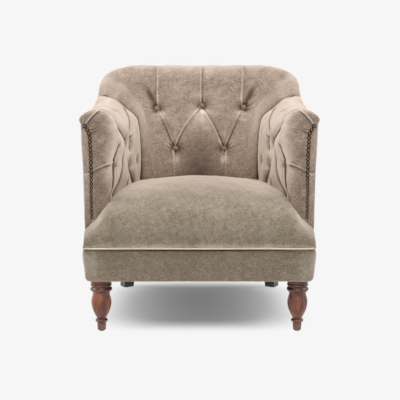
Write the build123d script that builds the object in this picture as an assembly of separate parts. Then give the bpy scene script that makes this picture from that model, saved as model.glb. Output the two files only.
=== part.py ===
from build123d import *

import os
from math import atan2, cos, degrees, exp, hypot, radians, sin, sqrt

# A buttoned tub chair. X runs to the sitter's left and right, the front faces -Y, +Z is up.
# The origin is on the floor under the middle of the chair. All sizes are in millimetres.

# ---- overall ---------------------------------------------------------------------------
back_height = 830.0        # floor to the top of the back
side_x = 365.0             # centre to the outside of the arms
arm_front_y = -315.0       # the flat front of the arms
seam_y = 150.0             # where the arms meet the back
lip_y = -393.5             # front-most line of the seat

# ---- seat frame ------------------------------------------------------------------------
rail_bottom = 168.0
rail_height = 93.0
frame_thick = 28.0         # timbers of the sides and the back
front_rail_thick = 24.0
panel_thick = 10.0         # outside panels: cloth, wadding and board
hem_drop = 3.0             # cloth below the rails
border_corner = 13.0       # rounding of the front border's lower corners
rail_chamfer = 6.0         # on the rails' lower corners, under that rounding
corner_radius = 130.0      # turn from the sides into the back
corner_y_low = 175.0       # where that turn starts, at the rails
back_rake = 0.118          # lean of the outside back, per mm of height
back_bow = 14.0            # slow curve across the back
block_leg = 72.0           # size of the corner blocks
block_height = 60.0

# ---- upper frame -----------------------------------------------------------------------
arm_rail_height = 50.0
arm_post_thick = 28.0
side_post_width = 30.0
rear_post_inner_x = 250.0
rear_post_outer_x = 300.0
crest_rail_height = 60.0
rim_padding = 22.0         # padding over the top edge of the back
tack_rail_height = 30.0
tack_gap = 32.0            # slot under the tacking rails, where the covers pull through

# ---- springs and seat ------------------------------------------------------------------
spring_count = 5
spring_pitch = 96.0
spring_wire = 3.6
spring_bends = 7
spring_width = 52.0
spring_end_gap = 2.0       # from a spring's end to the outside of the back rail
clip_width = 16.0
clip_length = 12.0
clip_thick = 1.6
hessian_thick = 2.4
cover_thick = 4.0
seat_crown = 452.0
welt_radius = 3.5

# ---- inside padding --------------------------------------------------------------------
pad_flat_top = 424.0       # the arms are plain below this, where the seat hides them
back_flat_top = 437.0      # and the back below this
seat_gap = 1.0             # from the seat to the padding beside it
seat_back_gap = 3.5        # and behind it
lower_button_x = 90.0
upper_button_x = 158.0
arm_upper_buttons = (-130.0, 30.0)
arm_lower_buttons = (-245.0, -60.0, 100.0)
pleat_depth = 15.0
button_depth = 27.0
roll_pleat_depth = 5.0
button_radius = 11.0
button_height = 7.0
button_edge = 2.5
button_sides = 12
button_clearance = 0.4
fold_half = 2.5            # half the width of a closed pleat

# ---- nails -----------------------------------------------------------------------------
nail_pitch = 13.2
nail_radius = 5.9
nail_height = 3.4
nail_sides = 8

# ---- legs ------------------------------------------------------------------------------
glide_height = 3.0
glide_radius = 9.0
front_leg_x = 310.0
front_leg_y = -346.5
rear_foot_x = 274.0
rear_foot_y = 252.0
rear_top_x = 258.0
rear_top_y = 222.0
rear_leg_top = 52.0        # across the flats
rear_leg_foot = 37.0
rear_leg_turn = 30.0       # turned about the vertical
bolt_radius = 4.0
bolt_depth = 40.0          # into the leg, and as far into the block above
sheet_thick = 1.5
leg_hole_clearance = 2.0

# ---- derived places --------------------------------------------------------------------
rail_top = rail_bottom + rail_height
hem_z = rail_bottom - hem_drop
rail_x = side_x - panel_thick            # outer face of the side timbers
core_x = rail_x - frame_thick            # inner face of the side timbers
core_inset = panel_thick + frame_thick
turn_x = side_x - corner_radius          # the back's corners turn about this line
hessian_z = rail_top + spring_wire
seat_bottom = hessian_z + hessian_thick
apron_y = lip_y + welt_radius            # front face of the border
front_rail_y = apron_y + panel_thick
post_y = arm_front_y + panel_thick       # front of the arm posts
tack_z = rail_top + tack_gap
pad_bottom = tack_z                      # the padding starts level with the tacking rails
spring_front_y = front_rail_y + 6
spring_back_y = (corner_y_low + back_rake * rail_height + corner_radius - panel_thick
                 - spring_end_gap)


# ---- measured heights that follow the height of the back, or of the seat -----------------
def lifted(z):
    """A height measured on the arms or the back, moved with the height of the back.

    The measured chair rises 406 from pad_flat_top to the top of its back.
    """
    share = (back_height - pad_flat_top) / 406.0
    return z if z <= pad_flat_top else pad_flat_top + (z - pad_flat_top) * share


def plumped(rise):
    """A height above the springs' cover, moved with the seat's crown.

    The measured seat rises 185 from that cover to its crown.
    """
    return seat_bottom + rise * (seat_crown - seat_bottom) / 185.0


arm_rail_top = lifted(655.0)
lower_row = lifted(523.0)                # heights of the back's buttons
upper_row = lifted(677.0)
arm_upper_row = lifted(590.0)            # and of the arms'
arm_lower_row = lifted(505.0)


def block(x0, x1, y0, y1, z0, z1):
    """A plain timber between two corners."""
    size = Box(abs(x1 - x0), abs(y1 - y0), abs(z1 - z0))
    return Pos((x0 + x1) / 2, (y0 + y1) / 2, (z0 + z1) / 2) * size


def along(pairs, at):
    """Read a measured line of (place, value) pairs, straight between its points."""
    if at <= pairs[0][0]:
        return pairs[0][1]
    for (a, va), (b, vb) in zip(pairs, pairs[1:]):
        if at <= b:
            return va + (vb - va) * (at - a) / (b - a)
    return pairs[-1][1]


def group(pieces):
    """Separate solids that share one name, such as a row of nails."""
    return Compound(children=[solid for piece in pieces for solid in piece.solids()])


def mirrored(piece):
    return group([solid.mirror(Plane.YZ) for solid in piece.solids()])


# ---- the outside of the tub ------------------------------------------------------------
def corner_y(z):
    """Where the side turns into the back: the back leans, so it moves with height."""
    return corner_y_low + back_rake * (z - rail_bottom)


def tub_section(z, inset, front_y):
    """The tub's plan at one height, moved inwards by inset and closed in front."""
    w = side_x - inset
    r = corner_radius - inset
    cy = corner_y(z)
    a = r * sqrt(0.5)
    back_y = cy + r
    return Wire([
        ThreePointArc((-w, cy, z), (-turn_x - a, cy + a, z), (-turn_x, back_y, z)),
        ThreePointArc((-turn_x, back_y, z), (0, back_y + back_bow, z), (turn_x, back_y, z)),
        ThreePointArc((turn_x, back_y, z), (turn_x + a, cy + a, z), (w, cy, z)),
        Line((w, cy, z), (w, front_y, z)),
        Line((w, front_y, z), (-w, front_y, z)),
        Line((-w, front_y, z), (-w, cy, z)),
    ])


def tub_block(inset, z0, z1, front_y=seam_y):
    """Everything inside the tub's outline between two heights."""
    sections = [tub_section(z0, inset, front_y), tub_section(z1, inset, front_y)]
    return Solid.make_loft(sections, ruled=True)


def tub_ring(outer, inner, z0, z1):
    """A wall that follows the tub, between two insets."""
    return tub_block(outer, z0, z1) - tub_block(inner, z0 - 1, z1 + 1, seam_y - 5)


# ---- the top edge of the back ----------------------------------------------------------
# Each row: height, where it starts along the side (or how far round the
# corner, in degrees), how far the outside rolls in, and the thickness of the edge there.
rim_rows = [
    (lifted(725.0), seam_y, 0.0, 0.0, 47.0),
    (lifted(748.0), seam_y + 30, 0.0, 0.0, 52.0),
    (lifted(772.0), seam_y + 72, 0.0, 0.0, 57.0),
    (lifted(787.0), None, 14.0, 0.5, 60.0),
    (lifted(799.0), None, 32.0, 2.0, 60.0),
    (lifted(810.0), None, 50.0, 5.0, 56.0),
    (lifted(821.0), None, 68.0, 12.0, 44.0),
    (back_height, None, 82.0, 27.0, 20.0),
]
rim_start_z = rim_rows[0][0]

# Inside face of the back on the centre line, by height.
back_face = [
    (pad_bottom, 182.0), (back_flat_top, 182.0), (back_flat_top + 15, 190.0),
    (lower_row, 207.0), (lifted(600.0), 228.0), (upper_row, 249.0), (rim_start_z, 262.0),
    (lifted(772.0), 279.0), (lifted(799.0), 295.0), (lifted(810.0), 306.0),
    (lifted(821.0), 322.0), (back_height, 345.0),
]

# Inside edge of the padding where the arm meets the back, by height.
seam_face = [
    (pad_bottom, 209.0), (pad_flat_top, 209.0), (lifted(440.0), 208.0), (lifted(505.0), 206.0),
    (lifted(571.0), 209.0), (lifted(641.0), 219.0), (lifted(676.0), 258.0),
    (lifted(717.0), 304.0), (rim_start_z, 318.0),
]


def lobed_edge(places, depths, face, outward, to_world):
    """Arcs that swell between sewn-in pleats.

    face gives the swollen face at each place along the edge, depths say how far the cloth
    is pulled in at each pleat; outward is the sign of the swelling.
    """
    edges = []
    for u0, u1, d0, d1 in zip(places, places[1:], depths, depths[1:]):
        a = (u0, face(u0) - outward * d0)
        b = (u1, face(u1) - outward * d1)
        pulled = (d0 + d1) / 2
        swell = min(pulled + 0.3, 0.3 * abs(u1 - u0))
        u = (u0 + u1) / 2
        middle = (u, face(u) - outward * (pulled - swell))
        edges.append(ThreePointArc(to_world(*a), to_world(*middle), to_world(*b)))
    return edges


def pleat_lines(z, rows, upper, lower):
    """The four pleats at a height: closed pairs at the rows, diagonals between them."""
    low, high = rows
    t = min(max((z - low) / (high - low), 0.0), 1.0)
    return [a + (b - a) * t for a, b in zip(lower, upper)]


def pull_in(z, rows, base):
    """Pleat depth at a height, deepest at the button rows."""
    pull = max(exp(-((z - row) / 26.0) ** 2) for row in rows)
    return base + (button_depth - pleat_depth) * pull


# ---- inside back -----------------------------------------------------------------------
back_rows = (lower_row, upper_row)
back_upper = (-upper_button_x, -fold_half, fold_half, upper_button_x)
back_lower = (
    -lower_button_x - fold_half, -lower_button_x + fold_half,
    lower_button_x - fold_half, lower_button_x + fold_half,
)


def back_face_at(x, z, end):
    """Swollen face of the back at x: it curves forward to its ends."""
    middle = along(back_face, z)
    return middle - (middle - end[1]) * (x / end[0]) ** 2


def back_section(z, start_y, angle, roll_in, thick):
    w = side_x - roll_in
    r = corner_radius - roll_in
    cy = corner_y(z)
    if angle > 0.0:
        start = (-turn_x - r * cos(radians(angle)), cy + r * sin(radians(angle)))
        run = (start[0] + 1.5 * sin(radians(angle)), start[1] + 1.5 * cos(radians(angle)))
        inner = (start[0] + thick * cos(radians(angle)), start[1] - thick * sin(radians(angle)))
        angle_0 = degrees(atan2(run[1] - cy, -turn_x - run[0]))
    else:
        start = (-w, start_y)
        run = (-w, cy)
        inner = (-w + thick, start_y)
        angle_0 = 0.0
    half = radians((angle_0 + 90.0) / 2)
    turn = (-turn_x - r * cos(half), cy + r * sin(half))
    corner = (-turn_x, cy + r)
    xs = pleat_lines(z, back_rows, back_upper, back_lower)
    reach = -inner[0]
    xs = [x if abs(x) < reach - 20 else x * (reach - 20) / abs(x) for x in xs]
    depth = 0.0 if z <= back_flat_top else pull_in(z, back_rows, pleat_depth)
    if z > lifted(780.0):
        depth = roll_pleat_depth + (back_height - z) * 0.12
    places = [-reach] + xs + [reach]
    depths = [0.0] + [depth] * 4 + [0.0]
    face = lambda x: back_face_at(x, z, inner)
    swollen = lobed_edge(places, depths, face, -1.0, lambda x, y: (x, y, z))
    outline = [
        Line((reach, inner[1], z), (-start[0], start[1], z)),
        Line((-start[0], start[1], z), (-run[0], run[1], z)),
        ThreePointArc((-run[0], run[1], z), (-turn[0], turn[1], z), (-corner[0], corner[1], z)),
        ThreePointArc((-corner[0], corner[1], z), (0, corner[1] + back_bow, z),
                      (corner[0], corner[1], z)),
        ThreePointArc((corner[0], corner[1], z), (turn[0], turn[1], z), (run[0], run[1], z)),
        Line((run[0], run[1], z), (start[0], start[1], z)),
        Line((start[0], start[1], z), (inner[0], inner[1], z)),
    ]
    return Wire(swollen + outline)


def back_sections():
    heights = [
        pad_bottom, back_flat_top, back_flat_top + 15, lifted(485.0), lower_row,
        lifted(562.0), lifted(600.0), lifted(638.0), upper_row, lifted(702.0),
    ]
    rows = [(z, seam_y, 0.0, 0.0, side_x - along(seam_face, z)) for z in heights]
    rows += rim_rows
    return [back_section(*row) for row in rows]


def rim_envelope():
    """The space under the padded top edge, where the frame and outside back end."""
    lower = back_height - rim_padding
    side = [(seam_y - 20, 100.0), (seam_y - 20, arm_rail_top), (seam_y, arm_rail_top)]
    side.append((rim_rows[1][1] + 5, lifted(693.0)))
    side.append((rim_rows[2][1] + 5, rim_rows[2][0] - rim_padding - 12))
    for z, _, turn, _, _ in rim_rows[3:]:
        y = corner_y(z) + corner_radius * sin(radians(turn))
        side.append((y, z - rim_padding))
    side += [(500.0, lower), (500.0, 100.0)]
    left = []
    for z, _, turn, roll, _ in rim_rows[3:]:
        x = turn_x + (corner_radius - roll) * cos(radians(turn))
        left.append((-x, z - rim_padding))
    left = [(-side_x - 20, left[0][1] - 8)] + left
    face = [(-side_x - 20, 100.0)] + left + [(-x, z) for x, z in reversed(left)]
    face.append((side_x + 20, 100.0))
    side_solid = extrude(make_face(Polyline(*[(0, y, z) for y, z in side], close=True)),
                         side_x + 40, both=True)
    face_solid = extrude(make_face(Polyline(*[(x, 0, z) for x, z in face], close=True)),
                         600, both=True)
    return side_solid & face_solid


def back_button_places():
    places = []
    for z, xs in ((upper_row, (-upper_button_x, 0.0, upper_button_x)),
                  (lower_row, (-lower_button_x, lower_button_x))):
        end = (-along(seam_face, z), seam_y)
        for x in xs:
            deep = pull_in(z, back_rows, pleat_depth)
            places.append((x, back_face_at(x, z, end) + deep, z))
    return places


def pocket(place, heading, radius, length):
    """A round hole whose floor lies at place, opening along heading."""
    return Plane(origin=place, z_dir=heading) * Cylinder(
        radius, length, align=(Align.CENTER, Align.CENTER, Align.MIN))


def domed_head(rings, sides):
    """A small many-sided dome, flat at the back: (radius, height) rings from its rim up."""
    wires = [(Pos(0, 0, h) * RegularPolygon(r, sides)).face().outer_wire()
             for r, h in rings if r > 0]
    tip = [Vertex(0, 0, h) for r, h in rings if r == 0]
    return Solid.make_loft(wires + tip, ruled=True)


def covered_button(place, heading):
    """A flat-backed button with a domed, cloth-covered face."""
    rings = [(button_radius, 0.0), (button_radius, button_edge),
             (button_radius * 0.62, button_height)]
    return Plane(origin=place, z_dir=heading) * domed_head(rings, button_sides)


def inside_back():
    whole = Solid.make_loft(back_sections(), ruled=True)
    hollow = (tub_block(-20, 200, back_height + 40, seam_y - 5)
              - tub_block(core_inset, 190, back_height + 50, seam_y - 60)) & rim_envelope()
    pad = whole - hollow
    for place in back_button_places():
        pad = pad - pocket(place, (0, -1, 0), button_radius + button_clearance, 60)
    return pad


# ---- inside arms (left; the right one mirrors it) ---------------------------------------
# Outline of the arm on its flat front, going up the inside face, over the top and out
# to the scroll; the second list is the same line where the arm meets the back.
arm_front_outline = [
    (-287.0, pad_bottom), (-287.0, pad_flat_top), (-281.0, lifted(438.0)),
    (-270.0, lifted(467.0)), (-266.0, lifted(530.0)), (-258.0, lifted(574.0)),
    (-255.0, lifted(610.0)), (-258.0, lifted(640.0)), (-264.0, lifted(663.0)),
    (-276.0, lifted(681.0)), (-295.0, lifted(693.0)), (-318.0, lifted(697.0)),
    (-335.0, lifted(695.0)), (-359.0, lifted(684.0)), (-374.0, lifted(667.0)),
    (-372.0, arm_rail_top),
]
arm_rear_outline = [(-x, z) for z, x in seam_face[:-1]] + [
    (-334.0, lifted(723.0)), (-357.0, lifted(722.0)), (-side_x, lifted(712.0)),
    (-side_x, arm_rail_top)]
arm_rows = (arm_lower_row, arm_upper_row)
arm_upper = (arm_upper_buttons[0] - fold_half, arm_upper_buttons[0] + fold_half,
             arm_upper_buttons[1] - fold_half, arm_upper_buttons[1] + fold_half)
arm_lower = (arm_lower_buttons[0], arm_lower_buttons[1] - fold_half,
             arm_lower_buttons[1] + fold_half, arm_lower_buttons[2])


def ray_length(outline, start, angle):
    """How far a ray from start runs before it meets the outline."""
    dx, dz = cos(radians(angle)), sin(radians(angle))
    best = None
    for (x0, z0), (x1, z1) in zip(outline, outline[1:]):
        ex, ez = x1 - x0, z1 - z0
        cross = dx * ez - dz * ex
        if abs(cross) < 1e-9:
            continue
        t = ((x0 - start[0]) * ez - (z0 - start[1]) * ex) / cross
        s = ((x0 - start[0]) * dz - (z0 - start[1]) * dx) / cross
        if t > 0 and -1e-6 <= s <= 1 + 1e-6:
            best = t if best is None else min(best, t)
    return best


def arm_section(start, angle, depth, z):
    """One lobed section: a straight line on the core, arcs on the swollen face."""
    front = ray_length(arm_front_outline, start, angle)
    rear = ray_length(arm_rear_outline, start, angle)
    dx, dz = cos(radians(angle)), sin(radians(angle))
    place = lambda y, r: (start[0] + r * dx, y, start[1] + r * dz)
    ys = pleat_lines(z, arm_rows, arm_upper, arm_lower)
    face = lambda y: front + (rear - front) * (y - arm_front_y) / (seam_y - arm_front_y)
    depths = [min(depth, 4.0)] + [depth] * 4 + [0.0]
    swollen = lobed_edge([arm_front_y] + ys + [seam_y], depths, face, 1.0, place)
    end_a = place(seam_y, rear)
    end_b = place(arm_front_y, front - depths[0])
    core_a, core_b = place(seam_y, 0), place(arm_front_y, 0)
    return Wire(swollen + [Line(end_a, core_a), Line(core_a, core_b), Line(core_b, end_b)])


def arm_sections():
    sections = []
    for z in (pad_bottom, pad_flat_top, pad_flat_top + 14, lifted(455.0), lifted(480.0),
              arm_lower_row, lifted(535.0), lifted(562.0), arm_upper_row, lifted(625.0)):
        depth = 0.0 if z <= pad_flat_top else pull_in(z, arm_rows, pleat_depth)
        sections.append(arm_section((-core_x, z), 0.0, depth, z))
    turns = (0, 20, 42, 62, 82, 102, 120, 137, 151.5, 180)
    for i, turn in enumerate(turns):
        start = (-core_x - frame_thick * i / (len(turns) - 1), arm_rail_top)
        depth = roll_pleat_depth + (pleat_depth - roll_pleat_depth) * max(0, 1 - turn / 45)
        sections.append(arm_section(start, turn, depth, back_height))
    return sections


def arm_button_places():
    places = []
    for z, ys in ((arm_upper_row, arm_upper_buttons), (arm_lower_row, arm_lower_buttons)):
        front = ray_length(arm_front_outline, (-core_x, z), 0)
        rear = ray_length(arm_rear_outline, (-core_x, z), 0)
        for y in ys:
            face = front + (rear - front) * (y - arm_front_y) / (seam_y - arm_front_y)
            places.append((-core_x + face - pull_in(z, arm_rows, pleat_depth), y, z))
    return places


def inside_arm():
    pad = Solid.make_loft(arm_sections(), ruled=True)
    # the cover is carried round the front of the post, as far as the nails
    wrap = block(nail_line[-1][0], -core_x, arm_front_y, post_y, pad_bottom, arm_rail_top)
    pad = pad + wrap
    for place in arm_button_places():
        pad = pad - pocket(place, (1, 0, 0), button_radius + button_clearance, 60)
    return pad


# ---- nails -----------------------------------------------------------------------------
# The row runs down the arm front along the edge of the cover, curling in under the scroll.
nail_line = [(-357.0, lifted(645.0)), (-349.0, lifted(634.0)), (-343.5, lifted(619.0)),
             (-341.0, lifted(594.0)), (-339.5, lifted(529.0)), (-337.5, 351.0)]


def nail_row():
    spots = []
    travelled = 0.0
    for (x0, z0), (x1, z1) in zip(nail_line, nail_line[1:]):
        run = hypot(x1 - x0, z1 - z0)
        while len(spots) * nail_pitch <= travelled + run:
            t = (len(spots) * nail_pitch - travelled) / run
            spots.append((x0 + (x1 - x0) * t, z0 + (z1 - z0) * t))
        travelled += run
    rings = [(nail_radius, 0.0), (nail_radius * 0.78, nail_height * 0.65), (0, nail_height)]
    head = domed_head(rings, nail_sides)
    heads = []
    for x, z in spots:
        heads.append(Plane(origin=(x, arm_front_y, z), x_dir=(1, 0, 0), z_dir=(0, -1, 0)) * head)
    return group(heads)


# ---- seat ------------------------------------------------------------------------------
# Shape of the seat's nose, from the lip back to the arm fronts: distance behind the lip,
# height of the side edge, of the two shoulders and of the middle above the springs' cover.
nose_rows = [
    (7.0, 9.0, 14.0, 18.0, 20.0),
    (8.5, 14.0, 34.0, 49.0, 58.0),
    (14.0, 19.0, 51.0, 74.0, 86.0),
    (27.0, 26.0, 65.0, 98.0, 115.0),
    (48.0, 33.0, 78.0, 121.0, 140.0),
    (78.2, 41.0, 90.0, 140.0, 157.0),
]
shoulder_outer = 322.0
shoulder_inner = 286.5
# Crown of the seat behind the arm fronts: place, height at the sides, height in the middle.
crown_rows = [
    (arm_front_y - 0.3, 140.0, 157.0), (-250.0, 145.0, 172.0), (-150.0, 150.0, 181.0),
    (-60.0, 153.0, 185.0), (50.0, 155.0, 180.0), (seam_y, 154.0, 167.0),
    (210.0, 152.0, 160.0),
]
nose_back_y = arm_front_y - 0.3


def seat_nose(skin):
    sections = []
    bottom = seat_bottom
    for behind, *rises in nose_rows:
        edge_z, low_z, high_z, mid_z = [plumped(rise) for rise in rises]
        y = lip_y + behind + (skin if behind < 20 else 0.0)
        y = min(y, nose_back_y)
        outer, low, high = side_x - 4 - skin, shoulder_outer - skin, shoulder_inner - skin
        sections.append(Wire([
            Line((-outer, y, bottom), (-outer, y, edge_z - skin)),
            ThreePointArc((-outer, y, edge_z - skin), (-low, y, low_z - skin),
                          (-high, y, high_z - skin)),
            ThreePointArc((-high, y, high_z - skin), (0, y, mid_z - skin),
                          (high, y, high_z - skin)),
            ThreePointArc((high, y, high_z - skin), (low, y, low_z - skin),
                          (outer, y, edge_z - skin)),
            Line((outer, y, edge_z - skin), (outer, y, bottom)),
            Line((outer, y, bottom), (-outer, y, bottom)),
        ]))
    return Solid.make_loft(sections, ruled=True)


def seat_well(skin):
    """The seat between the arms: a tapered plan, cut to the crown above."""
    gap = seat_gap + skin
    front_x = -arm_front_outline[0][0] - gap
    rear_x = seam_face[0][1] - gap
    back_y = back_face[0][1] - seat_back_gap - skin
    corner = seam_y - seat_back_gap - skin
    plan = make_face([
        Line((-front_x, nose_back_y), (front_x, nose_back_y)),
        Line((front_x, nose_back_y), (rear_x, corner)),
        ThreePointArc((rear_x, corner), (0, back_y), (-rear_x, corner)),
        Line((-rear_x, corner), (-front_x, nose_back_y)),
    ])
    column = Pos(0, 0, seat_bottom) * extrude(plan, seat_crown - seat_bottom + 10)
    sections = []
    for y, edge_rise, mid_rise in crown_rows:
        edge_z, mid_z = plumped(edge_rise), plumped(mid_rise)
        w = front_x + (rear_x - front_x) * (y - nose_back_y) / (seam_y - nose_back_y) + 1
        sections.append(Wire([
            Line((w, y, 200), (-w, y, 200)),
            Line((-w, y, 200), (-w, y, edge_z - skin)),
            ThreePointArc((-w, y, edge_z - skin), (0, y, mid_z - skin), (w, y, edge_z - skin)),
            Line((w, y, edge_z - skin), (w, y, 200)),
        ]))
    return column & Solid.make_loft(sections, ruled=True)


def seat_body(skin):
    return seat_nose(skin) + seat_well(skin)


def spring(x):
    """A zigzag spring of square-bent wire, from the front rail to the back rail."""
    y0, y1 = spring_front_y, spring_back_y
    step = (y1 - y0) / (spring_bends + 1)
    half = spring_width / 2
    wire = spring_wire
    path = Sketch()
    side = -1
    y = y0
    path += Pos(x, y0 + step / 2) * Rectangle(wire, step + wire)
    for bend in range(spring_bends):
        y = y0 + step * (bend + 1)
        reach = half if 0 < bend < spring_bends - 1 else half / 2
        old = 0.0 if bend == 0 else side * half
        new = 0.0 if bend == spring_bends - 1 else -side * half
        middle = (old + new) / 2
        path += Pos(x + middle, y) * Rectangle(abs(new - old) + wire, wire)
        path += Pos(x + new, y + step / 2) * Rectangle(wire, step + wire)
        side = -side
    return Pos(0, 0, rail_top) * extrude(path, wire)


def spring_xs():
    first = -spring_pitch * (spring_count - 1) / 2
    return [first + spring_pitch * i for i in range(spring_count)]


# ---- legs ------------------------------------------------------------------------------
# Turned front leg: (drop below the seat frame, radius) down its profile, between a head
# with two grooves, a bead, a neck, the long vase, a small ring and the tapered foot.
leg_turning = [
    (0.0, 33.0), (12.0, 33.0), (14.0, 30.6), (16.0, 33.0), (22.0, 33.0), (25.0, 30.0),
    (30.5, 34.0), (36.5, 34.0), (42.5, 28.5), (47.0, 26.6), (53.0, 27.5), (64.0, 30.6),
    (76.0, 31.6), (96.0, 29.0), (112.0, 22.5), (128.0, 14.7), (131.0, 18.9), (138.0, 18.9),
    (142.0, 14.6),
]
leg_foot_radius = 12.9


def front_leg(x):
    points = [(r, rail_bottom - drop) for drop, r in leg_turning]
    points.append((leg_foot_radius, glide_height))
    points = [(0.0, rail_bottom)] + points + [(0.0, glide_height)]
    turned = revolve(Plane.XZ * make_face(Polyline(*points, close=True)), Axis.Z)
    bore = Cylinder(bolt_radius, bolt_depth, align=(Align.CENTER, Align.CENTER, Align.MAX))
    return Pos(x, front_leg_y, 0) * (turned - Pos(0, 0, rail_bottom) * bore)


def rear_leg_square(x, y, z, size, turn):
    spin = Pos(x, y, z) * Rot(0, 0, turn)
    return (spin * Rectangle(size, size)).face().outer_wire()


def rear_leg():
    """Left rear leg: a square taper that rakes back and out."""
    top = rear_leg_square(-rear_top_x, rear_top_y, rail_bottom, rear_leg_top, rear_leg_turn)
    foot = rear_leg_square(-rear_foot_x, rear_foot_y, glide_height, rear_leg_foot, rear_leg_turn)
    leg = Solid.make_loft([foot, top], ruled=True)
    bore = Cylinder(bolt_radius, bolt_depth, align=(Align.CENTER, Align.CENTER, Align.MAX))
    return leg - Pos(-rear_top_x, rear_top_y, rail_bottom) * bore


def leg_bolt(x, y):
    """Hanger bolt: half in the leg, half in the corner block."""
    return Pos(x, y, rail_bottom) * Cylinder(bolt_radius, bolt_depth * 2)


def bolt_hole(x, y):
    return Pos(x, y, rail_bottom) * Cylinder(bolt_radius, bolt_depth * 2)


def glide(x, y):
    disc = Cylinder(glide_radius, glide_height, align=(Align.CENTER, Align.CENTER, Align.MIN))
    return Pos(x, y, 0) * disc


# ---- frame -----------------------------------------------------------------------------
def side_rail():
    rail = block(-rail_x, -core_x, front_rail_y + front_rail_thick, seam_y,
                 rail_bottom, rail_top)
    lower = rail.edges().filter_by(Axis.Y).group_by(Axis.Z)[0]
    return chamfer(lower.sort_by(Axis.X)[0], rail_chamfer)


def front_rail():
    rail = block(-rail_x, rail_x, front_rail_y, front_rail_y + front_rail_thick,
                 rail_bottom, rail_top)
    return chamfer(rail.edges().filter_by(Axis.Y).group_by(Axis.Z)[0], rail_chamfer)


def lower_ring():
    return tub_ring(panel_thick, core_inset, rail_bottom, rail_top)


def back_rail():
    return lower_ring() & block(-turn_x, turn_x, 0, 600, 0, 900)


def corner_rail():
    return lower_ring() & block(-600, -turn_x, 0, 600, 0, 900)


def front_block():
    y0 = front_rail_y + front_rail_thick
    # cut across the inner corner, deep enough to take the leg's bolt
    wedge = Polyline((-core_x, y0), (-core_x + block_leg, y0),
                     (-core_x + block_leg, y0 + block_leg * 0.35),
                     (-core_x + block_leg * 0.35, y0 + block_leg),
                     (-core_x, y0 + block_leg), close=True)
    solid = Pos(0, 0, rail_bottom) * extrude(make_face(wedge), block_height)
    return solid - bolt_hole(-front_leg_x, front_leg_y)


def rear_block():
    zone = block(-core_x, -rear_top_x + rear_leg_top / 2 + 8, seam_y, seam_y + 200,
                 rail_bottom, rail_bottom + block_height)
    solid = zone & tub_block(core_inset, rail_bottom - 5, rail_top)
    return solid - bolt_hole(-rear_top_x, rear_top_y)


def upper_ring():
    ring = tub_ring(panel_thick, core_inset, rail_top, back_height + 10)
    return ring & rim_envelope()


def build_back_frame():
    ring = upper_ring()
    side_post = ring & block(-600, 0, seam_y, seam_y + side_post_width, rail_top, 900)
    rear_post = ring & block(-rear_post_outer_x, -rear_post_inner_x, 200, 600, rail_top, 900)
    wing = ring & block(-600, -rear_post_outer_x, seam_y + side_post_width, 600,
                        arm_rail_top - arm_rail_height, 900)
    lower = back_height - rim_padding - crest_rail_height
    crest = ring & block(-rear_post_inner_x, rear_post_inner_x, 200, 600, lower, 900)
    tack = ring & block(-rear_post_inner_x, rear_post_inner_x, 200, 600,
                        tack_z, tack_z + tack_rail_height)
    return side_post, rear_post, wing, crest, tack


def arm_post():
    return block(-rail_x, -core_x, post_y, post_y + arm_post_thick, rail_top, arm_rail_top)


def arm_rail():
    return block(-rail_x, -core_x, post_y + arm_post_thick, seam_y,
                 arm_rail_top - arm_rail_height, arm_rail_top)


def arm_tack_rail():
    return block(-rail_x, -core_x, post_y + arm_post_thick, seam_y,
                 tack_z, tack_z + tack_rail_height)


def arm_webbing():
    """Three upright jute straps on the inside of the arm frame."""
    strips = []
    y0, y1 = post_y + arm_post_thick, seam_y
    for i in range(3):
        y = y0 + (y1 - y0) * (i + 1) / 4
        strips.append(block(-core_x - 2, -core_x, y - 25, y + 25,
                            tack_z + tack_rail_height, arm_rail_top - arm_rail_height))
    return group(strips)


def back_webbing():
    """Upright straps between the tacking rail and the crest rail."""
    top = back_height - rim_padding - crest_rail_height
    thin = tub_ring(core_inset - 2, core_inset, tack_z + tack_rail_height, top)
    strips = []
    for x in (-150.0, -50.0, 50.0, 150.0):
        strips.append(thin & block(x - 25, x + 25, 200, 600, 200, 900))
    return group(strips)


# ---- outside ---------------------------------------------------------------------------
def outside_arm():
    panel = block(-side_x, -rail_x, post_y, seam_y, hem_z, arm_rail_top)
    skirt = block(-side_x, -rail_x, nose_back_y, post_y, hem_z, seat_bottom)
    front = block(-side_x, nail_line[-1][0], arm_front_y, post_y, seat_bottom + 0.5, arm_rail_top)
    return panel + skirt + front


def outside_back():
    ring = tub_ring(0, panel_thick, hem_z, back_height + 10)
    return ring & rim_envelope()


def border():
    """Front border: a flat panel that turns both corners, with rounded lower corners."""
    y1 = nose_back_y
    outer = block(-side_x + 2, side_x - 2, apron_y, y1, hem_z, seat_bottom)
    lower = outer.edges().filter_by(Axis.Y).group_by(Axis.Z)[0]
    outer = fillet(lower, border_corner)
    inner = block(-rail_x, rail_x, front_rail_y, y1 + 10, hem_z - 5, seat_bottom + 5)
    return outer - inner


def lip_welt():
    """Piping along the lip."""
    z = seat_bottom + welt_radius
    y = lip_y + welt_radius
    x = side_x - 4
    cord = Plane(origin=(-x, y, z), x_dir=(0, 1, 0), z_dir=(1, 0, 0)) * RegularPolygon(
        welt_radius, 8, major_radius=False, rotation=22.5)
    return extrude(cord, 2 * x, dir=(1, 0, 0))


def hessian():
    y0, y1 = front_rail_y, seam_y
    sheet = block(-core_x + 14, core_x - 14, y0, y1, hessian_z, seat_bottom)
    tail = block(-turn_x, turn_x, y1, corner_y(rail_top) + corner_radius - core_inset + 12,
                 hessian_z, seat_bottom)
    return sheet + tail


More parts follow.
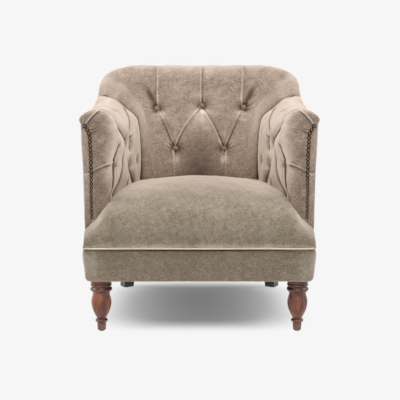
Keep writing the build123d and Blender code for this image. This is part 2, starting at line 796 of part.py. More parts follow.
def dust_cover():
    z0 = rail_bottom - sheet_thick
    half = rail_x - rail_chamfer
    front = block(-half, half, front_rail_y, seam_y, z0, rail_bottom)
    rear = tub_block(panel_thick, z0, rail_bottom)
    sheet = front + rear
    for side in (-1, 1):
        hole = Cylinder(33.0 + leg_hole_clearance, 20)
        sheet = sheet - Pos(side * front_leg_x, front_leg_y, z0) * hole
        cut = Rot(0, 0, side * -rear_leg_turn) * Box(
            rear_leg_top + 2 * leg_hole_clearance, rear_leg_top + 2 * leg_hole_clearance, 20)
        sheet = sheet - Pos(side * rear_top_x, rear_top_y, z0) * cut
    return sheet


def spring_clips():
    """A small plate beside each end of each spring, on the rails."""
    plates = []
    for x in spring_xs():
        for y in (spring_front_y, spring_back_y - clip_length):
            x0 = x + spring_wire / 2
            plates.append(block(x0, x0 + clip_width, y, y + clip_length,
                                rail_top, rail_top + clip_thick))
    return group(plates)


# ---- put everything together -------------------------------------------------------------
def build():
    parts = {}
    side_post, rear_post, wing, crest, tack = build_back_frame()
    left = {
        "frame_side_rail": side_rail(), "frame_corner_rail": corner_rail(),
        "frame_front_block": front_block(), "frame_rear_block": rear_block(),
        "frame_arm_post": arm_post(), "frame_arm_rail": arm_rail(),
        "frame_arm_tack_rail": arm_tack_rail(), "frame_side_post": side_post,
        "frame_rear_post": rear_post, "frame_wing_rail": wing,
        "arm_webbing": arm_webbing(), "inside_arm": inside_arm(),
        "outside_arm": outside_arm(), "arm_nails": nail_row(),
        "leg_rear": rear_leg(),
        "leg_bolt_rear": leg_bolt(-rear_top_x, rear_top_y),
        "leg_bolt_front": leg_bolt(-front_leg_x, front_leg_y),
        "leg_front": front_leg(-front_leg_x),
        "glide_front": glide(-front_leg_x, front_leg_y),
        "glide_rear": glide(-rear_foot_x, rear_foot_y),
        "arm_buttons": group([covered_button(p, (1, 0, 0)) for p in arm_button_places()]),
    }
    for name, piece in left.items():
        parts[name + "_left"] = piece
        parts[name + "_right"] = mirrored(piece)
    parts["frame_front_rail"] = front_rail()
    parts["frame_back_rail"] = back_rail()
    parts["frame_crest_rail"] = crest
    parts["frame_back_tack_rail"] = tack
    parts["back_webbing"] = back_webbing()
    parts["seat_springs"] = group([spring(x) for x in spring_xs()])
    parts["spring_clips"] = spring_clips()
    parts["seat_hessian"] = hessian()
    filling = seat_body(cover_thick)
    parts["seat_filling"] = filling
    parts["seat_cover"] = seat_body(0.0) - filling
    parts["lip_welt"] = lip_welt()
    parts["front_border"] = border()
    parts["inside_back"] = inside_back()
    parts["back_buttons"] = group([covered_button(p, (0, -1, 0)) for p in back_button_places()])
    parts["outside_back"] = outside_back()
    parts["dust_cover"] = dust_cover()
    return parts


os.makedirs("parts", exist_ok=True)
for name, piece in build().items():
    export_step(piece, "parts/" + name + ".step")
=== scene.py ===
import math

import bpy
import numpy as np
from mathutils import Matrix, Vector


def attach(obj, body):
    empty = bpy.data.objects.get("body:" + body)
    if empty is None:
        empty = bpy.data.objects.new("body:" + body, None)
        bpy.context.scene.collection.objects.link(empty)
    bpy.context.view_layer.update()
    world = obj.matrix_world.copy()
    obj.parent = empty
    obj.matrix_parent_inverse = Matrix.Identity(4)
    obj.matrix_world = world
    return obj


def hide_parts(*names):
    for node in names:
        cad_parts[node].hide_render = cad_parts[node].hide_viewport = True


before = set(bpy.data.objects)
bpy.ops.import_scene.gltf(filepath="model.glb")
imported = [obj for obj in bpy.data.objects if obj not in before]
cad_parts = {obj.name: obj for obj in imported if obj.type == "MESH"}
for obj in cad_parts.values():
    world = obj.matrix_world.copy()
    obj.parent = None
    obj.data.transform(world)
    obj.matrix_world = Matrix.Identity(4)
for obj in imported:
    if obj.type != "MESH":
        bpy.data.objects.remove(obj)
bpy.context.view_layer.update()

# Lengths in this script are millimetres until a mesh is made; angles are degrees unless a name says otherwise.
MM = 0.001
STEP = 2.7          # spacing of the cloth grids
MIRROR = np.array([-1.0, 1.0, 1.0])        # from the chair's left side to its right

# ---- places taken from the model
SEAM_Y = 150.0                             # where the covers of the arms and of the back meet
ARM_FRONT_Y = -315.0
LIP_Y = -393.5
SIDE_X = 365.0
HEM_Z = 165.0
PIPING_Z = 272.0                           # where the seat's cover ends, all round
ARM_FOOT_Z = 302.0                         # lower edge of the inside arms' covers
BACK_FOOT_Z = 400.0                        # and of the inside back's
ARM_CORE = (-327.0, -355.0, 655.0)         # inner and outer end of the arm rail's top, and its height
ARM_TURN = 26.0                            # radius of the arm's inner front corner
ARM_PUFF = 5.0                             # how far the arm's front stands out past its nails
ARM_SAG = 14.0                             # how far the arm's outer top dips behind its front
CORNER_R = 130.0                           # of the tub's rear corners, which begin at TURN_X
TURN_X = SIDE_X - CORNER_R
BACK_BOW = 14.0                            # how far the outside back bows between them

# outlines (x, z) of the left inside arm at its front and at the seam, and the line of nails
ARM_FRONT = [(-287, 302), (-287, 380), (-286, 424), (-281, 438), (-270, 467), (-266, 498), (-266, 530),
             (-258, 574), (-255, 610), (-258, 640), (-264, 663), (-276, 681), (-295, 693), (-318, 697),
             (-335, 695), (-348, 691), (-359, 684), (-369, 676), (-374, 667), (-372, 655)]
ARM_REAR = [(-209, 302), (-209, 424), (-208, 440), (-206, 505), (-209, 571), (-219, 641), (-234, 660),
            (-258, 678), (-282, 698), (-304, 713), (-320, 719), (-334, 723), (-348, 724), (-357, 722),
            (-363, 716), (-365, 706), (-365, 655)]
NAIL_LINE = [(-337.5, 302), (-337.5, 351), (-338.5, 430), (-339.5, 529), (-341, 594), (-343.5, 619),
             (-349, 634), (-357, 645)]
# heights of the inside back on its centre line, and its y there
BACK_MIDDLE = [(400, 190), (437, 194), (460, 197), (490, 201), (523, 208), (600, 228), (677, 249), (725, 262),
               (772, 279), (799, 295), (821, 322)]
# rim of the back, from the seam to the middle: place along the tub (y, or angle of the corner, or x),
# height of the crest, crest inset, inner shoulder inset, inner shoulder drop
RIM = [("y", 150, 726, 26, 56, 20), ("y", 180, 748, 27, 56, 20), ("y", 222, 771, 28, 57, 19),
       ("a", 14, 793, 29, 59, 18), ("a", 32, 808, 30, 61, 16), ("a", 50, 817, 31, 64, 14),
       ("a", 68, 824, 33, 68, 11), ("a", 82, 828, 35, 71, 9), ("x", 190, 829, 36, 74, 9),
       ("x", 100, 828.5, 37, 75, 9), ("x", 0, 828.5, 37, 75, 9)]


# ---- curves and grids
def smooth(points, per=10):
    """A smooth curve through the points, along axis 0, with per samples in each gap."""
    p = np.asarray(points, float)
    flat = p.reshape(len(p), -1, p.shape[-1])
    gap = np.sqrt(np.linalg.norm(np.diff(flat, axis=0), axis=2).mean(1)) + 1e-9
    t = np.concatenate([[0], np.cumsum(gap)])
    slope = np.empty_like(p)
    shape = (-1,) + (1,) * (p.ndim - 1)
    chord = np.diff(p, axis=0) / gap.reshape(shape)
    a, b = gap[:-1].reshape(shape), gap[1:].reshape(shape)
    slope[1:-1] = (chord[:-1] * b + chord[1:] * a) / (a + b)
    slope[0], slope[-1] = chord[0], chord[-1]
    out = []
    for k in range(len(p) - 1):
        h = t[k + 1] - t[k]
        for i in range(per):
            s = i / per
            out.append((2 * s ** 3 - 3 * s ** 2 + 1) * p[k] + (s ** 3 - 2 * s ** 2 + s) * h * slope[k]
                       + (3 * s ** 2 - 2 * s ** 3) * p[k + 1] + (s ** 3 - s ** 2) * h * slope[k + 1])
    out.append(p[-1])
    return np.array(out)


def run_along(curves):
    """Length from the start of a curve to each of its points, along axis 0."""
    run = np.cumsum(np.linalg.norm(np.diff(curves, axis=0), axis=-1), axis=0)
    return np.concatenate([np.zeros_like(run[:1]), run])


def even(curves, n):
    """Resamples curves (k, m, d), or one curve (k, d), to n points evenly spaced along axis 0."""
    c = curves if curves.ndim == 3 else curves[:, None]
    run = run_along(c)
    out = np.empty((n,) + c.shape[1:])
    for j in range(c.shape[1]):
        at = np.linspace(0, run[-1, j], n)
        for d in range(c.shape[2]):
            out[:, j, d] = np.interp(at, run[:, j], c[:, j, d])
    return out if curves.ndim == 3 else out[:, 0]


def even_rows(rows, n):
    """Resamples rows (k, m, 3) to n, evenly along the middle column, so that rows stay level across."""
    c = smooth(rows, 8)
    run = run_along(c[:, c.shape[1] // 2])
    at = np.linspace(0, run[-1], n)
    columns = [np.interp(at, run, column) for column in c.reshape(len(c), -1).T]
    return np.stack(columns, 1).reshape((n,) + c.shape[1:])


def count(length):
    """Points of a grid over a length."""
    return int(round(length / STEP)) + 1


def both_ways(rows, down, across):
    """A smooth grid through the rows, evenly spaced over the lengths down and across."""
    grid = even(smooth(np.array(rows), 6), count(down))
    return even(smooth(grid.transpose(1, 0, 2), 6), count(across)).transpose(1, 0, 2)


def normals(p, facing):
    """Unit normals of a grid, on the side that facing (1 or -1) picks."""
    n = np.cross(np.gradient(p, axis=0), np.gradient(p, axis=1))
    return n * facing / (np.linalg.norm(n, axis=2, keepdims=True) + 1e-9)


def tub_turn(z):
    """The y at which the tub's rear corners begin, at height z."""
    return 175.0 + 0.118 * (z - 168.0)


def tub_point(kind, value, z, inset=0.0):
    """A point on the tub's outline at height z on its left side, moved in by inset, and the way out."""
    cy = tub_turn(z)
    if kind == "y":
        out = np.array([-1.0, 0.0])
        at = np.array([-SIDE_X, value])
    elif kind == "a":
        rad = math.radians(value)
        out = np.array([-math.cos(rad), math.sin(rad)])
        at = np.array([-TURN_X, cy]) + CORNER_R * out
    else:
        slope = 2 * BACK_BOW * value / TURN_X ** 2
        out = np.array([-slope, 1.0]) / math.hypot(slope, 1.0)
        at = np.array([-value, cy + CORNER_R + BACK_BOW * (1 - (value / TURN_X) ** 2)])
    return np.array([*(at - out * inset), z]), np.array([*out, 0.0])


# ---- base shapes of the covers
def arm_rays(outline):
    """Rays from the arm's timber core to an outline (x, z): up its inner side, over the top and round the scroll.

    Each row is a ray's start (x, z), its way (x, z) and its length. Starts and ways are the same for every outline.
    """
    x0, x1, top = ARM_CORE
    line = smooth(outline, 12)
    peak = int(np.argmax(line[:, 1]))
    rows = [(x0, z, 1.0, 0.0, np.interp(z, line[:peak, 1], line[:peak, 0]) - x0)
            for z in np.linspace(ARM_FOOT_Z, top, count(top - ARM_FOOT_Z))]
    for cx, a0, a1, n in ((x0, 0, 90, count(125)), (x1, 90, 180, count(62))):
        outer = cx == x1
        if outer:
            part = line[max(peak - 60, 0):]
            part = part[np.argsort(part[:, 0])]
            rows += [(x, top, 0.0, 1.0, np.interp(x, part[:, 0], part[:, 1]) - top)
                     for x in np.linspace(x0, x1, count(28))[1:-1]]
        near = line[line[:, 1] > (top - 1 if outer else 560)] - [cx, top]
        ang = np.degrees(np.arctan2(near[:, 1], near[:, 0]))
        rad = np.hypot(near[:, 1], near[:, 0])
        order = np.argsort(ang)
        for a in np.linspace(a0, a1, n)[0 if outer else 1:]:
            c, s = math.cos(math.radians(a)), math.sin(math.radians(a))
            rows.append((cx, top, c, s, np.interp(a, ang[order], rad[order])))
    return np.array(rows)


def arm_base():
    """The inside arm: rows run up the arm and over its top, columns from the nails round the front to the seam."""
    front, rear = arm_rays(ARM_FRONT), arm_rays(ARM_REAR)
    core, way = front[:, :2], front[:, 2:4]
    ra, rb = front[:, 4], rear[:, 4]
    nails = smooth(NAIL_LINE, 12)
    zs = np.minimum(core[:, 1], 640)
    start = np.stack([np.interp(zs, nails[:, 1], nails[:, 0]), zs], 1)
    fan = core[:, 1] >= ARM_CORE[2] - 1e-6
    start[fan] = np.array([-352.5, 650.0]) + way[fan] * 2.5
    turn = ARM_TURN - 15 * np.clip((way[:, 1] > 0) * (way[:, 1] + (way[:, 0] < 0) * 0.6), 0, 1)
    rim = core + way * ra[:, None]

    def at(xz, y):
        return np.stack([xz[:, 0], np.broadcast_to(y, len(xz)), xz[:, 1]], 1)

    face_y = ARM_FRONT_Y - ARM_PUFF
    inner = rim - way * turn[:, None]
    rows = [at(start, ARM_FRONT_Y + 0.5), at(start + (inner - start) * 0.18, face_y + 2.4),
            at(start + (inner - start) * 0.45, face_y + 0.3), at(start + (inner - start) * 0.8, face_y)]
    for a in (20, 45, 70):
        s, c = math.sin(math.radians(a)), math.cos(math.radians(a))
        rows.append(at(rim - way * (turn * (1 - s))[:, None], face_y + turn * (1 - c)))
    for y in (-290, -270, -240, -180, -120, -60, 0, 60, 110, 137):
        k = (y - ARM_FRONT_Y) / (SEAM_Y - ARM_FRONT_Y)
        slack = np.interp(k, [0, 0.05, 0.15, 0.5, 0.75, 1], [0, 0.5, 1, 1, 0.75, 0]) * ARM_SAG
        slack = slack * np.clip(-(rim[:, 0] + 312) / 34, 0, 1) * np.clip(2 * way[:, 1], 0, 1)
        rows.append(at(core + way * (ra + (rb - ra) * k - slack)[:, None], y))
    for y, drop in ((147, 2.5), (150, 8.0), (150.5, 16.0)):
        rows.append(at(core + way * (rb - drop)[:, None], y))
    return even(smooth(np.array(rows), 10), count(560)).transpose(1, 0, 2)


def rim_curves():
    """Crest, inner shoulder and outer edge of the rim of the back, left seam to middle."""
    crest, shoulder, outer, low = [], [], [], []
    for kind, value, z, inset, inside, drop in RIM:
        top, out = tub_point(kind, value, z, inset)
        crest.append(top)
        shoulder.append(tub_point(kind, value, z, inside)[0] - [0, 0, drop])
        outer.append(tub_point(kind, value, z - 12, 5)[0])
        low.append(tub_point(kind, value, z - 40, -1)[0])
    return [np.array(c) for c in (crest, shoulder, outer, low)]


def both_sides(curve, n):
    """Mirrors a curve from the left seam to the middle, and resamples the whole evenly."""
    return even(smooth(np.concatenate([curve, curve[-2::-1] * MIRROR]), 12), n)


def back_base():
    """The inside back: rows run up from the seat and over the rim, columns from the left seam to the right."""
    n, levels = count(760), 15
    crest, shoulder, outer, low = [both_sides(c, n) for c in rim_curves()]
    seam = smooth([(-209, 400), (-209, 424), (-208, 440), (-206, 505), (-209, 571), (-219, 641),
                   (-258, 676), (-283, 701), (shoulder[0, 0], shoulder[0, 2])], 10)
    run = run_along(seam)
    shares = np.linspace(0, 1, levels)
    seam_x, seam_z = [np.interp(shares, run / run[-1], seam[:, d]) for d in (0, 1)]
    side = np.stack([seam_x, np.full(levels, SEAM_Y), seam_z], 1)
    q = np.linspace(-1, 1, n)
    bottom = np.stack([q * 209, 182 - 32 * q ** 2, np.full(n, BACK_FOOT_Z)], 1)
    u = ((q + 1) / 2)[:, None]
    rows = []
    for s, left in zip(shares[:-1], side):
        edge = (1 - u) * left + u * (left * MIRROR)
        corners = ((1 - s) * ((1 - u) * bottom[0] + u * bottom[-1])
                   + s * ((1 - u) * shoulder[0] + u * shoulder[-1]))
        row = (1 - s) * bottom + s * shoulder + edge - corners
        mid = row[n // 2]
        row[:, 1] += (np.interp(mid[2], *zip(*BACK_MIDDLE)) - mid[1]) * (1 - q ** 2)
        rows.append(row)
    high = crest - (crest - outer) * 0.5
    high[:, 2] = crest[:, 2] - 3.5
    rows += [shoulder, shoulder * 0.45 + crest * 0.55 + [0, 0, 2.2], crest, high, outer,
             (outer + low) / 2 + (low - outer) * 0.1, low]
    return even(smooth(np.array(rows), 10), count(465))


SEAT_HALF = 361.0
SEAT_BETWEEN = 0.83                        # share of the seat's width that passes between the arms
# the seat's nose: distance behind the lip; height at the side, knee, shoulder and middle
SEAT_NOSE = [(4, 274.5, 274.5, 274.5, 274.5), (7, 277, 282, 285, 288), (8.5, 281, 300, 312, 320),
             (14, 289, 318, 338, 350), (27, 299, 334, 363, 378), (48, 311, 346, 383, 401),
             (72, 320, 356, 398, 420)]
SEAT_SHARES = [0, 0.2, 0.5, 0.77, 0.955, 1.0]      # of the way from the middle to the arm
# its top: y, and the height at each of these shares
SEAT_TOP = [(-310, 427, 426.3, 422.6, 416, 405, 395), (-299, 432.8, 432, 428, 421.5, 411, 403),
            (-272, 443.5, 442.5, 438, 430.5, 419, 412), (-235, 453, 452, 446.5, 437, 424, 418),
            (-190, 459.5, 458.3, 452, 441, 427.5, 423), (-145, 461.5, 460, 453, 442, 429, 425),
            (-95, 461, 459.5, 452, 441.5, 429.5, 426.5), (-50, 458, 456.5, 449.5, 439.5, 429, 426.5),
            (0, 453, 451.7, 445.5, 436, 428, 426), (50, 448, 447, 441.5, 433.5, 426, 424.5),
            (120, 437, 436.3, 433, 428, 423.5, 422), (165, 428, 427.6, 426, 424, 421, 420)]
SEAT_SIDES = ((0.4, 0.08), (1.0, 0.3), (1.6, 0.65), (2.4, 1.0))    # steps inward, share of the way down


def seat_base():
    """The seat: rows run from the lip over the nose to the back, columns across.

    The nose is as wide as the arms. Behind it the outer columns end in front of the arms, out of sight.
    """
    a = np.linspace(-1, 1, count(800))
    wings = np.abs(a) > SEAT_BETWEEN
    share = np.clip(a / SEAT_BETWEEN, -1, 1)
    rows = [np.stack([352 * a, np.full(len(a), LIP_Y + 12), np.full(len(a), PIPING_Z + 0.5)], 1)]
    for behind, edge, low, high, mid in SEAT_NOSE:
        prof = smooth([(0, mid), (60, mid - (mid - high) * 0.03), (150, mid - (mid - high) * 0.2),
                       (230, mid - (mid - high) * 0.52), (286.5, high), (322, low),
                       (350, edge + (low - edge) * 0.3), (SEAT_HALF, edge)], 8)
        x = a * SEAT_HALF
        rows.append(np.stack([x, np.full(len(a), LIP_Y + behind),
                              np.interp(np.abs(x), prof[:, 0], prof[:, 1])], 1))
    nose = rows[-1]
    for step, (y, *heights) in enumerate(SEAT_TOP):
        k = (y - ARM_FRONT_Y) / (SEAM_Y - ARM_FRONT_Y)
        corner = np.clip((ARM_FRONT_Y + ARM_TURN - 5 - y) / ARM_TURN, 0, 0.97)
        half = 289 - 78 * min(k, 1.0) - (14 if k > 1 else 0) + ARM_TURN * (1 - math.sqrt(1 - corner ** 2))
        deep = np.full(len(a), float(y)) if y < SEAM_Y else y + 3 - 32 * share ** 2
        prof = smooth(list(zip(SEAT_SHARES, heights)), 8)
        row = np.stack([share * half, deep, np.interp(np.abs(share), prof[:, 0], prof[:, 1])], 1)
        row[wings] = nose[wings] + [0, 2.5, -6.0 * (step + 1)]
        rows.append(row)
    rows.append(rows[-1] + [0, 9, -14])
    grid = even_rows(np.array(rows), count(700))
    # the sides turn down to the piping
    edge = []
    for s in (0, -1):
        strip = np.repeat(grid[:, [s]], len(SEAT_SIDES), axis=1)
        for i, (inward, part) in enumerate(SEAT_SIDES):
            strip[:, i, 2] -= (strip[:, i, 2] - PIPING_Z) * part
            strip[:, i, 0] -= np.sign(strip[:, i, 0]) * inward
        edge.append(strip)
    return np.concatenate([edge[0][:, ::-1], grid, edge[1]], 1)


# profile of the front border from the lip to the hem: height, half width, distance behind BORDER_Y
BORDER_Y = -390.0
BORDER = ((266, 353, 9), (266.6, 358, 4), (265.5, 361.4, 1), (258, 363.2, 0), (248, 363.7, -0.4),
          (234, 362.6, -0.9), (218, 360.6, -1), (200, 358.8, -0.6), (186, 357.6, 0), (179, 356.9, 0.3),
          (174, 355.7, 1), (170.5, 353.2, 2), (168, 350.2, 3.5), (166.2, 346.5, 6), (165.2, 342, 10),
          (165.4, 338, 15))


def border_base():
    """The front border: rows run down from the lip to the hem, columns from one arm round to the other."""
    back_y, corner = ARM_FRONT_Y - 0.6, 14.0
    rows = []
    for z, half, back in BORDER:
        front_y = BORDER_Y + back
        arc = [(-half + corner * (1 - math.cos(t)), front_y + corner * (1 - math.sin(t)))
               for t in np.radians([0, 22.5, 45, 67.5, 90])]
        side = [(-half, y) for y in np.linspace(back_y, front_y + corner + 3, 6)]
        left = np.array([(-half + 8, back_y + 0.5), *side, *arc])
        across = [(x, front_y) for x in np.linspace(left[-1, 0] + 12, -left[-1, 0] - 12, 24)]
        line = np.concatenate([left, across, left[::-1] * [-1, 1]])
        rows.append(np.column_stack([line, np.full(len(line), float(z))]))
    return both_ways(rows, 150, 860)


SIDE_LEVELS = (166, 165, 166.5, 172, 200, 240, 272, 277, 300, 351, 430, 530, 594, 619, 640, 650, 655, 656)
SIDE_EDGE_R = 7.0                          # radius of the outside arm's front edge


def outside_arm_base():
    """The outside arm: rows run up, columns from the nails round the front edge and back to the seam."""
    nails = smooth(NAIL_LINE, 12)
    r = SIDE_EDGE_R
    rows = []
    for z in SIDE_LEVELS:
        inner = np.interp(z, nails[:, 1], nails[:, 0]) if z > 276 else -357.0
        out = -np.interp(z, [165, 273, 308, 530, 600, 656],
                         [349 if z < 172 else 357, 363.4, 363.6, 365.2, 366.0, 366.8])
        if z <= 168:
            out += 6
        face = ARM_FRONT_Y if z > 276 else ARM_FRONT_Y + 1.5
        full = np.interp(z, [480, 530, 600, 656], [0, 1.4, 3.2, 4.2])     # fuller at the front, under the scroll
        line = [(inner + 2, face + 4), (inner, face), (inner + (out + r - inner) * 0.5, face - 1.2),
                (out + r, face - 0.8)]
        line += [(out + r - r * math.sin(t), face - 0.8 + r * (1 - math.cos(t))) for t in np.radians([30, 60, 90])]
        line += [(out, y) for y in (-295, -240, -160, -80, 0, 80, 130)]
        line += [(out + 0.5, 146), (out + 4, 150), (out + 12, 151)]
        line = [(x - full * np.interp(y, [-315, 60], [1, 0]) * np.interp(x, [-362, -352], [1, 0]), y)
                for x, y in line]
        rows.append(np.column_stack([line, np.full(len(line), float(z))]))
    tuck = rows[-1] + [0, 0, 1]
    tuck[4:, 0] += 9
    rows.append(tuck)
    return both_ways(rows, 250, 420)


def outside_back_base():
    """The outside back: rows run up from the hem and in under the rim, columns round the tub from seam to seam."""
    tops = (("y", 150, 693), ("y", 165, 706), ("a", 0, 747), ("a", 14, 759), ("a", 32, 774), ("a", 50, 783),
            ("a", 68, 790), ("a", 82, 794), ("x", 190, 795), ("x", 100, 795), ("x", 0, 795))
    insets = {0: 12, 1: 3, 2: 0.6, 11: 2.0, 12: 9.0}           # of the rows that turn in at the hem and the rim
    rows = []
    for k, share in enumerate((0, 0, 0.015, 0.06, 0.2, 0.35, 0.5, 0.65, 0.8, 0.93, 0.985, 1.0, 1.0)):
        line = [tub_point(kind, value, HEM_Z + (top - HEM_Z) * share, insets.get(k, 0.0))[0]
                + [0, 0, (1.5 if k == 0 else 0)] for kind, value, top in tops]
        rows.append(both_sides(np.array(line), count(700)))
    return even(smooth(np.array(rows), 6), count(400))


# ---- folds
HOLLOWS = (0.20, 0.085)                    # painted shade per mm of hollow, and painted highlight per mm proud, narrow and broad
ARM_HOLLOWS = (0.22, 0.22)
LIP_REACH = 14                             # a raised edge ends this far from its fold
PALE_LIP, DARK_CUT = 2.2, 4.5              # height of edge that gets the palest painted highlight, depth of fold that gets the darkest painted shade


def crease(tight, wide, crisp, points, lip=0.0, off=4.5, lip_width=2.6, dark=0.9):
    """A fold along the points (x, y, z, depth of the valley there).

    tight is the width of its crisp part, wide that of the pull around it, and crisp the share of the depth that
    the first has. lip is the height of a raised edge beside it, + on one side and - on the other, with its distance
    off and its lip_width; the edge gets a painted highlight. dark is how deep the painted shade in the fold gets.
    """
    return dict(line=np.array(points, float), tight=tight, wide=wide, crisp=crisp, lip=lip, off=off,
                lip_width=lip_width, dark=dark)


def both(about, fold):
    """A fold, and the same fold mirrored in x = about."""
    line = fold["line"] * [-1, 1, 1, 1] + [2 * about, 0, 0, 0]
    return fold, dict(fold, line=line, lip=-fold["lip"])


def dent(place, depth, wide, shade=0.45):
    """A round hollow at the place; shade is how dark the painted shade in it gets."""
    return dict(place=np.array(place, float), depth=depth, wide=wide, shade=shade)


def blurred(d, reach):
    """A grid of numbers averaged over 2 * reach + 1 neighbours each way, twice."""
    size = 2 * reach + 1
    for axis in (0, 1, 0, 1):
        pad = [(reach, reach) if a == axis else (0, 0) for a in (0, 1)]
        run = np.cumsum(np.pad(d, pad, mode="edge"), axis=axis)
        run = np.concatenate([np.zeros_like(run.take([0], axis)), run], axis)
        n = d.shape[axis]
        d = (run.take(range(size, n + size), axis) - run.take(range(n), axis)) / size
    return d


def hollows(rise, shades):
    """How far each grid point stands proud of (+) or below (-) the cloth around it, as painted highlight (+) and
    painted shade (-).
    """
    fine, broad = max(1, round(7.0 / STEP)), max(2, round(24.0 / STEP))
    return (rise - blurred(rise, fine)) * shades[0] + (rise - blurred(rise, broad)) * shades[1]


def carve(p, n, creases, dents):
    """Depth to press in at each grid point, and its painted light and shade: + for painted highlight, - for painted
    shade.
    """
    shape = p.shape[:2]
    pts, nrm = p.reshape(-1, 3), n.reshape(-1, 3)
    broad, sharp, raised, painted_shading = np.zeros((4, len(pts)))
    for c in creases:
        line = smooth(c["line"], 5)
        middle = line[:, :3].mean(0)
        reach = np.linalg.norm(line[:, :3] - middle, axis=1).max() + 3 * c["wide"]
        sub = np.flatnonzero(np.linalg.norm(pts - middle, axis=1) < reach)
        q = pts[sub]
        # distance to the fold, its depth there, and how far to one side of it each point lies
        b, dp, sg = np.full(len(sub), 1e9), np.zeros(len(sub)), np.zeros(len(sub))
        for a, e in zip(line[:-1], line[1:]):
            way = e[:3] - a[:3]
            s = np.clip(((q - a[:3]) @ way) / (way @ way + 1e-9), 0, 1)
            off = q - (a[:3] + s[:, None] * way)
            d = np.linalg.norm(off, axis=1)
            hit = d < b
            b = np.where(hit, d, b)
            dp = np.where(hit, a[3] + s * (e[3] - a[3]), dp)
            cross = np.cross(np.broadcast_to(way / np.linalg.norm(way), off.shape), nrm[sub])
            sg = np.where(hit, (off * cross).sum(1), sg)
        pull = dp * (1 - c["crisp"]) * np.exp(-(b / c["wide"]) ** 1.5)
        cut = dp * c["crisp"] * np.exp(-(b / c["tight"]) ** 1.4)
        broad[sub] = np.maximum(broad[sub], pull)
        sharp[sub] = np.maximum(sharp[sub], cut)
        if c["lip"]:
            height, side = abs(c["lip"]), math.copysign(1, c["lip"])
            on = np.exp(-((sg * side - c["off"]) / c["lip_width"]) ** 2) * (b < LIP_REACH)
            on = on * (dp / (c["line"][:, 3].max() + 1e-9))
            raised[sub] = np.maximum(raised[sub], height * on)
            # the raised edge gets a painted highlight
            painted_shading[sub] += on * min(0.9, height / PALE_LIP)
        # the fold gets painted shade
        painted_shading[sub] -= np.clip(cut / DARK_CUT, 0, 1) * c["dark"]
    for d in dents:
        r = np.linalg.norm(pts - d["place"], axis=1)
        broad = np.maximum(broad, d["depth"] * np.exp(-(r / d["wide"]) ** 1.15))
        # painted shade in the dent
        painted_shading -= d["shade"] * np.exp(-(r / (0.62 * d["wide"])) ** 2)
    total = (broad ** 3 + sharp ** 3) ** (1 / 3) * 0.55 + (broad + sharp) * 0.45
    return (total - raised).reshape(shape), np.clip(painted_shading, -1, 1).reshape(shape)


def painted_light_spots(p, spots):
    """Painted light and shade over broad places: each spot is its middle, its reach along x, y and z, and how much,
    + for painted highlight and - for painted shade.
    """
    total = np.zeros(p.shape[:-1])
    for middle, reach, amount in spots:
        total += amount * np.exp(-(((p - middle) / reach) ** 2).sum(-1))
    return total


def twin(middle, reach, amount):
    """A spot of painted light and shade, and the same spot mirrored in x."""
    x, y, z = middle
    return (middle, reach, amount), ((-x, y, z), reach, amount)


def wander(p, size, seed):
    """A slow, smooth unevenness between -1 and 1 over the places p."""
    rng = np.random.default_rng(seed)
    total = np.zeros(p.shape[:-1])
    for _ in range(7):
        way = rng.normal(size=3)
        way *= (2 * np.pi / size) * rng.uniform(0.6, 1.5) / np.linalg.norm(way)
        total += np.sin(p @ way + rng.uniform(0, 6.28))
    return total / 4


